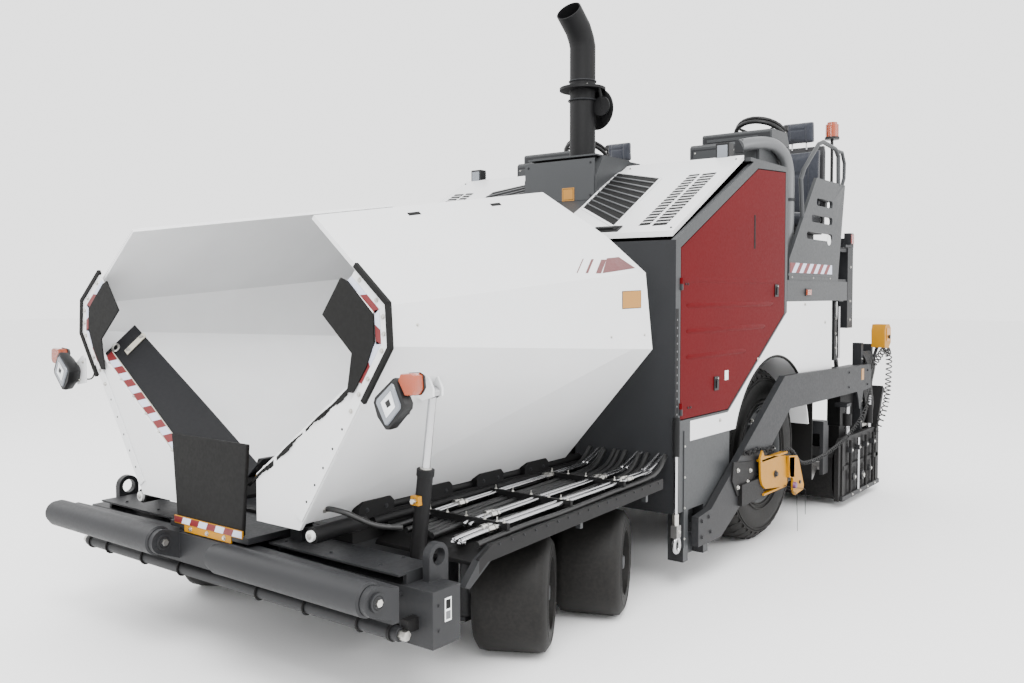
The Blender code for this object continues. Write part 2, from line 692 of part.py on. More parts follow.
def exhaust():
    y = 3.22
    base = Vector((0, y, 2.66 + GAP))
    knee = Vector((0, y, 3.48))
    lean = Vector((0, -0.12, 0.10))
    path = [base, knee, knee + Vector((0, -0.018, 0.05)), knee + Vector((0, -0.06, 0.115))]
    path.append(knee + Vector((0, -0.06, 0.115)) + lean)
    outer = pipe(path, 0.092, 28)
    pieces = [outer]
    pieces.append(rod((0, y, 3.17), (0, y, 3.19), 0.165, 28))
    pieces.append(rod((0.145, y - 0.01, 3.18), (0.145, y + 0.04, 3.06), 0.010, 8))
    pieces.append(rod((0.145, y + 0.015, 3.05), (0.145, y + 0.028, 3.05), 0.068, 24))
    stack = join(pieces)
    bore_path = [knee, knee + Vector((0, -0.018, 0.05)), knee + Vector((0, -0.06, 0.115))]
    bore_path.append(knee + Vector((0, -0.06, 0.115)) + lean * 1.3)
    stack = cut(stack, [pipe(bore_path, 0.084, 28)])
    finish(stack, "exhaust_stack", "charcoal")


def rear_fender(name, sign):
    pieces = [plate(sign, fender_outline(), SIDE - PANEL, SIDE)]
    start = math.radians(12)
    stop = math.radians(156)
    liner = circle(REAR_Y, REAR_R, ARCH_R + 0.012, 20, start, stop)
    liner += circle(REAR_Y, REAR_R, ARCH_R, 20, start, stop)[::-1]
    pieces.append(plate(sign, liner, FRAME_X + 0.03, SIDE - 0.01))
    finish(join(pieces), "rear_fender_" + name, "white")


# ---------------------------------------------------------------- operator's stand
def platform():
    pieces = [box(-SIDE, SIDE, BODY_Y1 + 0.0035, PLATFORM_Y1, 1.78, PLATFORM_Z)]
    pieces.append(box(-0.575, 0.575, BODY_Y1 + 0.0035, 4.90, TUNNEL_Z + 0.0255, 1.79))
    pieces.append(box(-1.19, 1.19, 5.20, PLATFORM_Y1, 1.66, 1.79))
    pieces.append(box(-0.49, 0.49, 4.08, 5.18, PLATFORM_Z - 0.01, PLATFORM_Z + 0.006))
    for name, sign in SIDES:
        pieces.append(slab(sign, 1.19, SIDE, BODY_Y1 + 0.0035, 5.30, 1.6685, 1.80))
        pieces.append(slab(sign, 1.003, 1.017, 5.25, 5.40, 1.69, 1.79))
        pieces.append(slab(sign, 1.103, 1.117, 5.25, 5.40, 1.69, 1.79))
        pieces.append(rod((sign * 1.006, 5.36, 1.74), (sign * 1.114, 5.36, 1.74), 0.014, 12))
    finish(join(pieces), "platform", "grey")


def side_wall(name, sign):
    foot = PLATFORM_Z + GAP
    top = PLATFORM_Z + 0.78
    outline = [(4.06, foot), (5.10, foot), (5.25, top), (4.60, top), (4.06, PLATFORM_Z + 0.15)]
    wall = plate(sign, outline, 1.185, 1.21)
    slots = []
    for start, rise in ((4.60, 0.60), (4.50, 0.47), (4.40, 0.34)):
        z = PLATFORM_Z + rise
        shape = circle(start + 0.03, z, 0.028, 8, math.pi / 2, 3 * math.pi / 2)
        shape += circle(4.93, z, 0.028, 8, -math.pi / 2, math.pi / 2)
        slots.append(plate(sign, shape, 1.10, 1.30))
    wall = cut(wall, slots)
    x = sign * 1.1975
    front_rail = [(4.34, 0.46), (4.30, 0.74), (4.36, 0.82), (4.66, 1.04), (4.76, 1.07)]
    front_rail += [(5.04, 1.05), (5.11, 1.00), (5.12, 0.76)]
    rear_rail = ((5.20, 0.76), (5.255, 0.84), (5.26, 0.96), (5.20, 1.04), (5.07, 1.04))
    pieces = [wall]
    for route, radius in ((front_rail, 0.016), (rear_rail, 0.014)):
        pieces.append(pipe([(x, y, PLATFORM_Z + rise) for y, rise in route], radius, 10))
    finish(join(pieces), "side_wall_" + name, "grey")


def console(name, sign):
    low, high = span(sign, 0.53, 1.067)
    pieces = [slab(sign, 0.60, 1.00, BODY_Y1 + 0.02, 4.22, PLATFORM_Z + GAP, 2.75)]
    shape = [(3.85, 2.62), (3.85, 2.79), (3.87, 2.81), (4.42, 2.81), (4.42, 2.74), (4.28, 2.62)]
    pieces.append(along_x(shape, low, high))
    shape = [(3.99, 2.80), (3.99, 2.885), (4.005, 2.90), (4.27, 2.90), (4.33, 2.80)]
    low, high = span(sign, 0.56, 1.10)
    pieces.append(along_x(shape, low, high))
    hub = Vector((sign * 0.80, 4.50, 2.93))
    axis = Vector((0, 0.5, 0.866))
    pieces.append(rod(hub - axis * 0.20, hub - axis * 0.0425, 0.028, 12))
    finish(join(pieces), "console_" + name, "grey")


def steering_wheel(name, sign):
    hub = Vector((sign * 0.80, 4.50, 2.93))
    axis = Vector((0, 0.5, 0.866)).normalized()
    side = Vector((1, 0, 0))
    up = axis.cross(side)
    points = []
    for k in range(28):
        turn = 2 * math.pi * k / 28
        points.append(hub + axis * 0.035 + (side * math.cos(turn) + up * math.sin(turn)) * 0.19)
    pieces = [pipe(points, 0.013, 8, closed=True)]
    pieces.append(rod(hub - axis * 0.042, hub + axis * 0.02, 0.036, 16))
    for k in range(3):
        turn = 2 * math.pi * k / 3 + math.pi / 2
        end = hub + axis * 0.035 + (side * math.cos(turn) + up * math.sin(turn)) * 0.185
        pieces.append(rod(hub, end, 0.010, 8))
    finish(join(pieces), "steering_wheel_" + name, "black")


def seat(name, sign):
    x = 0.86
    pieces = [slab(sign, x - 0.14, x + 0.14, 4.76, 5.02, PLATFORM_Z + GAP, 2.26)]
    cushion = [(4.66, 2.27), (4.66, 2.36), (4.69, 2.39), (5.14, 2.36), (5.14, 2.24), (4.72, 2.24)]
    low, high = span(sign, x - 0.24, x + 0.24)
    pieces.append(along_x(cushion, low, high))
    back = [(5.06, 2.34), (5.09, 2.90), (5.12, 2.93), (5.18, 2.93), (5.20, 2.90), (5.19, 2.30)]
    low, high = span(sign, x - 0.22, x + 0.22)
    pieces.append(along_x(back, low, high))
    rest = [(5.11, 2.95), (5.10, 3.10), (5.13, 3.13), (5.18, 3.13), (5.20, 3.10), (5.20, 2.95)]
    low, high = span(sign, x - 0.14, x + 0.14)
    pieces.append(along_x(rest, low, high))
    pieces.append(slab(sign, x - 0.08, x - 0.06, 5.14, 5.16, 2.90, 2.97))
    pieces.append(slab(sign, x + 0.06, x + 0.08, 5.14, 5.16, 2.90, 2.97))
    for arm in (x - 0.265, x + 0.225):
        pieces.append(slab(sign, arm, arm + 0.04, 4.74, 5.16, 2.52, 2.56))
        pieces.append(slab(sign, arm, arm + 0.04, 5.10, 5.16, 2.30, 2.54))
    finish(join(pieces), "seat_" + name, "seat")


def beacon():
    y = 5.245
    x = 1.10
    pieces = [rod((x, y, PLATFORM_Z + GAP), (x, y, 2.99), 0.012, 10)]
    pieces.append(rod((x, y, 2.98), (x, y, 3.00), 0.058, 24))
    pieces.append(rod((x, y, 2.995), (x, y, 3.10), 0.052, 24))
    pieces.append(rod((x, y, 3.09), (x, y, 3.118), 0.040, 24))
    finish(join(pieces), "beacon", "amber")


# ---------------------------------------------------------------- screed
def tow_arm(name, sign):
    outline = [(2.53, 0.24), (2.53, 0.415), (2.70, 0.436), (3.846, 1.153), (5.80, 1.12), (5.80, 0.91), (3.95, 0.915)]
    outline += [(3.21, 0.426), (2.834, 0.237)]
    pieces = [plate(sign, outline, SIDE + 0.008, HALF_WIDTH - 0.002)]
    pin = (sign * (GUIDE_X + GAP), TOW_Y, TOW_Z)
    pieces.append(rod(pin, (sign * (HALF_WIDTH - 0.01), TOW_Y, TOW_Z), 0.028, 16))
    pieces.append(slab(sign, 1.165, HALF_WIDTH - 0.004, 3.40, 3.52, 0.42, 0.66))
    pieces.append(slab(sign, 1.165, HALF_WIDTH, 3.46, 3.72, 0.40, 0.64))
    pieces.append(slab(sign, 1.10, SIDE + 0.02, 5.34, 5.76, 0.92, 1.11))
    finish(join(pieces), "tow_arm_" + name, "charcoal")


def screed():
    nose = AUGER_Y + AUGER_R + 0.025
    base = [(nose, 0.16), (nose + 0.035, SCREED_Z0), (SCREED_Y1, SCREED_Z0), (SCREED_Y1, 0.40)]
    base += [(nose + 0.075, 0.46), (nose, 0.40)]
    pieces = [along_x(base, -1.19, 1.19)]
    pieces.append(box(-1.15, 1.15, 5.36, 5.62, 0.38, 0.62))
    for name, sign in SIDES:
        pieces.append(slab(sign, 1.04, 1.15, 5.38, 5.72, 0.38, 0.92 - GAP))
        pieces.append(slab(sign, 1.03, 1.0995, 5.38, 5.72, 0.90, 1.03))
        pieces.append(slab(sign, 1.028, 1.036, 5.50, 5.60, 0.97, 1.10))
        pieces.append(slab(sign, 1.084, 1.0995, 5.50, 5.60, 0.97, 1.10))
        pieces.append(slab(sign, 0.95, 1.00, 5.60, 6.10, 0.40, 0.43))
    pieces.append(box(-1.10, 1.10, 5.72, REAR_END, 0.425, 0.45))
    pieces.append(box(-1.10, 1.10, 5.80, 5.84, EXTENSION_Z + GAP, 0.43))
    made = join(pieces)
    notches = []
    for name, sign in SIDES:
        notches.append(slab(sign, 1.036, 1.084, 5.40, 5.70, 0.985, 1.05))
    finish(cut(made, notches), "screed_frame", "black")


def extension(name, sign):
    pieces = [slab(sign, 0.006, 1.235, SCREED_Y1 + 0.0055, 6.02, SCREED_Z0, EXTENSION_Z)]
    gate = [(5.02, 0.06), (5.02, 0.50), (5.10, 0.56), (5.95, 0.56), (6.05, 0.46), (6.05, 0.06)]
    pieces.append(plate(sign, gate, 1.225, 1.262))
    finish(join(pieces), "screed_extension_" + name, "black")


def lift_cylinder(name, sign):
    x = sign * 1.06
    top = Vector((x, 5.36, 1.74))
    eye = Vector((x, 5.55, 1.07))
    way = (eye - top).normalized()
    barrel = join([rod(top + way * 0.02, top + way * 0.385, 0.038, 20), rod(top - Vector((0.022, 0, 0)), top + Vector((0.022, 0, 0)), 0.032, 16)])
    cutters = [rod(top + way * 0.045, top + way * 0.5, 0.0195, 16)]
    cutters.append(rod(top - Vector((0.05, 0, 0)), top + Vector((0.05, 0, 0)), 0.0155, 12))
    finish(cut(barrel, cutters), "lift_barrel_" + name, "black")
    pieces = [rod(top + way * 0.32, eye - way * 0.01, 0.019, 16), rod(eye - Vector((0.014, 0, 0)), eye + Vector((0.014, 0, 0)), 0.028, 16)]
    made = cut(join(pieces), [rod(eye - Vector((0.05, 0, 0)), eye + Vector((0.05, 0, 0)), 0.0155, 12)])
    finish(made, "lift_rod_" + name, "steel")


def auger(name, sign):
    start = 0.075
    length = 1.08
    turns = 3.6
    steps = 72
    half = 0.007
    verts = []
    for i in range(steps + 1):
        part = i / steps
        turn = 2 * math.pi * turns * part
        x = start + 0.02 + (length - 0.04) * part
        for r in (0.02, AUGER_R):
            for shift in (-half, half):
                spot = (sign * (x + shift), AUGER_Y + r * math.cos(turn), AUGER_Z + r * math.sin(turn))
                verts.append(spot)
    faces = [[0, 1, 3, 2], [steps * 4 + 2, steps * 4 + 3, steps * 4 + 1, steps * 4]]
    for i in range(steps):
        a = i * 4
        b = a + 4
        for k, m in ((0, 1), (1, 3), (3, 2), (2, 0)):
            faces.append([a + k, b + k, b + m, a + m])
    core = rod((sign * 0.0508, AUGER_Y, AUGER_Z), (sign * 1.1692, AUGER_Y, AUGER_Z), 0.035, 16)
    finish(join([core, solid(verts, faces)]), "auger_" + name, "steel")


# ---------------------------------------------------------------- build
chassis()
front_beam()
rollers()
front_flap()
trough()
front_axle()
body_shell()
engine()
exhaust()
platform()
beacon()
screed()
for label, way in SIDES:
    wing(label, way)
    apron(label, way)
    wing_cylinder(label, way)
    for axle, y, angle in zip(("front_", "rear_"), AXLE_Y, STEER):
        knuckle(axle + label, way, y, angle)
        front_wheel(axle + label, way, y, angle)
    rear_wheel(label, way)
    final_drive(label, way)
    fender_tray(label, way)
    side_door(label, way)
    hood(label, way)
    rear_fender(label, way)
    side_wall(label, way)
    console(label, way)
    steering_wheel(label, way)
    seat(label, way)
    tow_arm(label, way)
    extension(label, way)
    lift_cylinder(label, way)
    auger(label, way)
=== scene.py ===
"""Looks of the wheeled asphalt paver: paint, rubber, steel, glass and the small pieces the CAD leaves out.

Lengths are metres. Along the machine they are counted back from the push roller axis, as the frame is drawn,
and BACK turns them into the row frame, where the front faces -Y and the machine's left side is +X.
"""
import json
import math

import bmesh
import bpy
from mathutils import Matrix, Vector
from mathutils.bvhtree import BVHTree

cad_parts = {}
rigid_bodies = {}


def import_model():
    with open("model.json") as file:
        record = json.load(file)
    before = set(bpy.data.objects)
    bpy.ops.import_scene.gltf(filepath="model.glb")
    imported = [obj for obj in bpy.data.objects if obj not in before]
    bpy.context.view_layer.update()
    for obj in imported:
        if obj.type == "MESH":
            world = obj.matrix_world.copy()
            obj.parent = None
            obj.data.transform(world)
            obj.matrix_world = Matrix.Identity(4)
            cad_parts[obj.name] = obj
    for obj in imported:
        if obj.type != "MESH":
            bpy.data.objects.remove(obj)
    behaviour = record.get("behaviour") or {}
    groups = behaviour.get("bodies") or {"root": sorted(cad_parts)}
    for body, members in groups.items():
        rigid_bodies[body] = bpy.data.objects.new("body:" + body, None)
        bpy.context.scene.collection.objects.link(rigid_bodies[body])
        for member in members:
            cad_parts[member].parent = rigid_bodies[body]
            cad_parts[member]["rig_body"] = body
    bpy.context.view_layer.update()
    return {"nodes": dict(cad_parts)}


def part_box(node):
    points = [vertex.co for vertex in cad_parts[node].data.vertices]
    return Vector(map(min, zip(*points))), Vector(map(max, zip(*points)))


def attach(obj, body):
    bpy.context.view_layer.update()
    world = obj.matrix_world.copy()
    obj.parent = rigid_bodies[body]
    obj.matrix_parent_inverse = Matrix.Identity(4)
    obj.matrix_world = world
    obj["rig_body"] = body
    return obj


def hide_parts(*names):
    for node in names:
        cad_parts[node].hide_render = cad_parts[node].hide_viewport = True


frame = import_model()


def middle(node):
    low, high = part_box(node)
    return (low + high) / 2


BACK = middle("push_roller_left").y
SIDES = (("left", 1), ("right", -1))
BODY_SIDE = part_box("rear_fender_left")[1].x
DECK_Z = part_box("side_wall_left")[0].z
FRONT_AXLES = (("front", 1.02, 30.0), ("rear", 1.72, 24.0))
KINGPIN_X = 0.78
FRONT_FACE_X = 1.2         # outer face of the front wheels when they point ahead
FRONT_R = 0.28
REAR_Y = middle("rear_wheel_left").y - BACK
REAR_R = 0.6
ROLLER_Z = 0.571            # push roller axis
BAR_Y, BAR_Z = 0.166, 0.393  # cross tube under the front beam
STACK_Y = 3.22

bpy.context.scene.unit_settings.system = "METRIC"


# ---------------------------------------------------------------- camera, floor and light
def add_camera():
    data = bpy.data.cameras.new("camera")
    data.lens = 32.9
    data.sensor_width = 36.0
    data.shift_x = -0.0056
    data.shift_y = -0.0114
    camera = bpy.data.objects.new("camera", data)
    bpy.context.scene.collection.objects.link(camera)
    azimuth, pitch = math.radians(37.3), math.radians(2.23)
    forward = Vector((-math.sin(azimuth) * math.cos(pitch), math.cos(azimuth) * math.cos(pitch),
                      -math.sin(pitch)))
    camera.location = (3.721, -5.463, 1.726)
    camera.rotation_euler = forward.to_track_quat("-Z", "Y").to_euler()
    bpy.context.scene.camera = camera


def add_light(name, place, target, size, power, colour=(1.0, 1.0, 1.0)):
    data = bpy.data.lights.new(name, "AREA")
    data.shape = "RECTANGLE"
    data.size, data.size_y = size
    data.energy = power
    data.color = colour
    lamp = bpy.data.objects.new(name, data)
    bpy.context.scene.collection.objects.link(lamp)
    lamp.location = place
    lamp.rotation_euler = (Vector(target) - Vector(place)).to_track_quat("-Z", "Y").to_euler()


def add_stage():
    world = bpy.data.worlds.new("studio")
    bpy.context.scene.world = world
    world.use_nodes = True
    world.node_tree.nodes["Background"].inputs["Color"].default_value = (1.0, 1.0, 1.0, 1.0)
    world.node_tree.nodes["Background"].inputs["Strength"].default_value = 2.4
    mesh = bpy.data.meshes.new("floor")
    reach = 60.0
    mesh.from_pydata([(-reach, -reach, 0), (reach, -reach, 0), (reach, reach, 0), (-reach, reach, 0)], [],
                     [(0, 1, 2, 3)])
    floor = bpy.data.objects.new("floor", mesh)
    bpy.context.scene.collection.objects.link(floor)
    made = bpy.data.materials.new("floor")
    made.use_nodes = True
    shader = made.node_tree.nodes["Principled BSDF"]
    shader.inputs["Base Color"].default_value = (0.93, 0.93, 0.93, 1.0)
    shader.inputs["Roughness"].default_value = 0.75
    mesh.materials.append(made)
    add_light("key", (4.5, -6.5, 9.0), (0.0, 0.0, 1.2), (5.0, 5.0), 1300)
    add_light("side", (8.5, 2.0, 4.0), (0.5, 0.8, 1.2), (5.0, 3.0), 260)
    add_light("far", (-7.0, -4.0, 6.0), (0.0, 0.0, 1.4), (5.0, 4.0), 200)


# ---------------------------------------------------------------- materials
MADE = {}
DUST_TOP = 0.9              # height at which the dust has thinned out to nothing
DUST_COLOUR = (0.16, 0.145, 0.13, 1.0)


def add_node(tree, kind, inputs):
    """A shader node with each named input set to a value or linked to another node's socket."""
    node = tree.nodes.new("ShaderNode" + kind)
    for label, value in inputs.items():
        if isinstance(value, bpy.types.NodeSocket):
            tree.links.new(value, node.inputs[label])
        else:
            node.inputs[label].default_value = value
    return node


def noise(tree, scale, detail, coords):
    return add_node(tree, "TexNoise", {"Scale": scale, "Detail": detail, "Vector": coords}).outputs["Fac"]


def ranged(tree, value, from_low, from_high, low, high):
    limits = {"From Min": from_low, "From Max": from_high, "To Min": low, "To Max": high}
    return add_node(tree, "MapRange", {**limits, "Value": value}).outputs["Result"]


def bumped(tree, height, strength, distance, normal=None):
    settings = {"Strength": strength, "Distance": distance, "Height": height}
    if normal:
        settings["Normal"] = normal
    return add_node(tree, "Bump", settings).outputs["Normal"]


def object_coords(tree):
    return tree.nodes.new("ShaderNodeTexCoord").outputs["Object"]


def mixed(tree, factor, first, second):
    node = tree.nodes.new("ShaderNodeMix")
    node.data_type = "RGBA"
    for socket, value in ((node.inputs["A"], first), (node.inputs["B"], second)):
        if isinstance(value, tuple):
            socket.default_value = value
        else:
            tree.links.new(value, socket)
    tree.links.new(factor, node.inputs["Factor"])
    return node.outputs["Result"]


def shade(colour, by):
    return tuple(min(1.0, c * by) for c in colour) + (1.0,)


def surface(name, colour, rough, metallic=0.0, coat=0.0, patch=0.06, grain=350.0, bump=0.03, rough_spread=0.05,
            dust=0.0, wave=0.0, scratch=0.0, shine=0.5):
    """A finish with varied colour, uneven gloss, fine grain, faint waviness and dust near the ground."""
    made = bpy.data.materials.new(name)
    made.use_nodes = True
    tree = made.node_tree
    shader = tree.nodes["Principled BSDF"]
    for label, value in (("Metallic", metallic), ("Coat Weight", coat), ("Coat Roughness", 0.08),
                         ("Specular IOR Level", shine)):
        shader.inputs[label].default_value = value
    coords = object_coords(tree)
    clouds = noise(tree, 2.2, 5.0, coords)
    tone = ranged(tree, clouds, 0.3, 0.7, 0.0, 1.0)
    paint = mixed(tree, tone, shade(colour, 1.0 - patch), shade(colour, 1.0 + patch))
    specks = noise(tree, 60.0, 4.0, coords)
    if dust > 0.0:
        height = add_node(tree, "SeparateXYZ", {"Vector": coords}).outputs["Z"]
        veil = tree.nodes.new("ShaderNodeMath")
        veil.operation = "MULTIPLY"
        tree.links.new(ranged(tree, height, 0.0, DUST_TOP, dust, 0.0), veil.inputs[0])
        tree.links.new(ranged(tree, specks, 0.35, 0.7, 0.2, 1.0), veil.inputs[1])
        paint = mixed(tree, veil.outputs["Value"], paint, DUST_COLOUR)
    tree.links.new(paint, shader.inputs["Base Color"])
    gloss = ranged(tree, specks, 0.3, 0.7, max(0.02, rough - rough_spread), min(1.0, rough + rough_spread))
    tree.links.new(gloss, shader.inputs["Roughness"])
    normal = bumped(tree, noise(tree, grain, 3.0, coords), bump, 0.002)
    if wave > 0.0:
        normal = bumped(tree, noise(tree, 3.0, 1.0, coords), wave, 0.02, normal)
    if scratch > 0.0:
        stretch = add_node(tree, "Mapping", {"Scale": (6.0, 260.0, 260.0), "Vector": coords})
        normal = bumped(tree, noise(tree, 1.0, 3.0, stretch.outputs["Vector"]), scratch, 0.001, normal)
    tree.links.new(normal, shader.inputs["Normal"])
    MADE[name] = made
    return made


def cloth(name, colour):
    """Woven seat cloth: a fine two way weave with fuzz."""
    made = surface(name, colour, 0.85, patch=0.12, bump=0.15, grain=500.0)
    tree = made.node_tree
    shader = tree.nodes["Principled BSDF"]
    shader.inputs["Sheen Weight"].default_value = 0.35
    weave = add_node(tree, "TexChecker", {"Scale": 420.0, "Vector": object_coords(tree)})
    tree.links.new(bumped(tree, weave.outputs["Fac"], 0.25, 0.001), shader.inputs["Normal"])
    return made


def lamp_glass(name, colour, ribs=160.0):
    """A moulded lens with vertical ribs over its own colour."""
    made = surface(name, colour, 0.1, coat=0.6, patch=0.15, bump=0.02)
    tree = made.node_tree
    shader = tree.nodes["Principled BSDF"]
    bands = add_node(tree, "TexWave", {"Scale": ribs, "Vector": object_coords(tree)})
    bands.bands_direction = "DIAGONAL"
    tree.links.new(bumped(tree, bands.outputs["Fac"], 0.35, 0.002), shader.inputs["Normal"])
    return made


def make_materials():
    surface("white_paint", (0.66, 0.665, 0.67), 0.36, coat=0.25, patch=0.02, bump=0.015, wave=0.05, dust=0.06)
    # Inner faces of the wings: real scratched, rougher wear, and painted lighter than the outer white to lift
    # the shade on the inward faces.
    surface("hopper_inner_painted_bright", (0.74, 0.745, 0.75), 0.5, patch=0.05, bump=0.03, wave=0.06, scratch=0.04)
    surface("charcoal_paint", (0.0145, 0.0152, 0.0168), 0.5, coat=0.0, patch=0.1, bump=0.03, dust=0.08,
            shine=0.22)
    surface("dark_panel", (0.008, 0.0082, 0.009), 0.5, patch=0.1, bump=0.03, wave=0.03)
    surface("grey_paint", (0.04, 0.042, 0.044), 0.44, metallic=0.2, coat=0.0, patch=0.05, bump=0.02, wave=0.02,
            shine=0.25)
    surface("light_grey", (0.105, 0.108, 0.112), 0.42, metallic=0.3, patch=0.05, bump=0.02)
    surface("black_paint", (0.0038, 0.0038, 0.0042), 0.55, patch=0.12, bump=0.03, dust=0.08, shine=0.18)
    surface("red_paint", (0.078, 0.0001, 0.0014), 0.46, coat=0.0, patch=0.04, bump=0.012, wave=0.03, shine=0.05)
    surface("rubber", (0.0048, 0.0047, 0.0045), 0.7, patch=0.14, bump=0.1, grain=180.0, shine=0.18)
    surface("apron_rubber", (0.0065, 0.0068, 0.008), 0.6, patch=0.1, bump=0.06, grain=120.0, shine=0.2)
    surface("tyre_rubber", (0.0045, 0.0044, 0.0042), 0.62, patch=0.2, bump=0.12, grain=90.0, dust=0.08,
            shine=0.2)
    surface("steel", (0.45, 0.45, 0.46), 0.22, metallic=1.0, patch=0.05, bump=0.02, scratch=0.1)
    surface("worn_steel", (0.22, 0.215, 0.21), 0.42, metallic=0.9, patch=0.18, bump=0.06, scratch=0.15)
    surface("zinc", (0.5, 0.49, 0.46), 0.32, metallic=1.0, patch=0.1, bump=0.03)
    surface("tape_red", (0.12, 0.0003, 0.002), 0.45, patch=0.06, bump=0.05, grain=700.0)
    surface("tape_white", (0.5, 0.53, 0.64), 0.45, patch=0.03, bump=0.05, grain=700.0)
    surface("yellow", (0.34, 0.15, 0.0003), 0.45, patch=0.07, bump=0.04, shine=0.25)
    surface("orange_yellow", (0.38, 0.15, 0.0004), 0.38, coat=0.2, patch=0.08, bump=0.04)
    surface("cream", (0.42, 0.4, 0.33), 0.5, patch=0.06, bump=0.04)
    surface("decal_red", (0.085, 0.0001, 0.0008), 0.38, coat=0.1, patch=0.03, bump=0.01)
    surface("decal_yellow", (0.32, 0.135, 0.0003), 0.38, coat=0.1, patch=0.03, bump=0.01)
    surface("label_white", (0.7, 0.71, 0.7), 0.4, patch=0.04, bump=0.02)
    surface("plastic_black", (0.0048, 0.0048, 0.0052), 0.45, patch=0.08, bump=0.06, grain=450.0, shine=0.3)
    # Black print, and painted shade standing in for the dark insides of slots, holes, grooves, recesses and
    # grille openings.
    surface("black_print_and_slot_shade", (0.003, 0.003, 0.003), 0.7, patch=0.1, bump=0.05, shine=0.2)
    surface("hose_black", (0.0038, 0.0038, 0.0038), 0.5, patch=0.1, bump=0.12, grain=260.0)
    surface("reflector", (0.8, 0.82, 0.84), 0.08, metallic=1.0, patch=0.06, bump=0.3, grain=60.0)
    surface("knob_purple", (0.1, 0.02, 0.09), 0.35, patch=0.06, bump=0.04)
    lamp_glass("lens_clear", (0.16, 0.175, 0.2))
    lamp_glass("lens_amber", (0.27, 0.034, 0.0002))
    lamp_glass("lens_red", (0.2, 0.002, 0.001))
    cloth("seat_cloth", (0.0125, 0.015, 0.024))
    surface("seat_shell", (0.016, 0.016, 0.018), 0.55, patch=0.1, bump=0.1)


# ---------------------------------------------------------------- shape building
def frame_of(direction):
    direction = direction.normalized()
    other = Vector((0, 0, 1)) if abs(direction.z) < 0.9 else Vector((1, 0, 0))
    side = direction.cross(other).normalized()
    return side, direction.cross(side).normalized()


BLOCK_FACES = [[0, 1, 2, 3], [7, 6, 5, 4], [0, 4, 5, 1], [1, 5, 6, 2], [2, 6, 7, 3], [3, 7, 4, 0]]


def wrapped(rings, count, closed=False):
    """Faces between rings of equally many points."""
    faces = []
    for i in range(rings if closed else rings - 1):
        n = (i + 1) % rings
        for k in range(count):
            m = (k + 1) % count
            faces.append([i * count + k, i * count + m, n * count + m, n * count + k])
    return faces


def drum(count):
    """Faces of a prism between two outlines."""
    return [list(range(count)), list(range(2 * count - 1, count - 1, -1))] + wrapped(2, count)


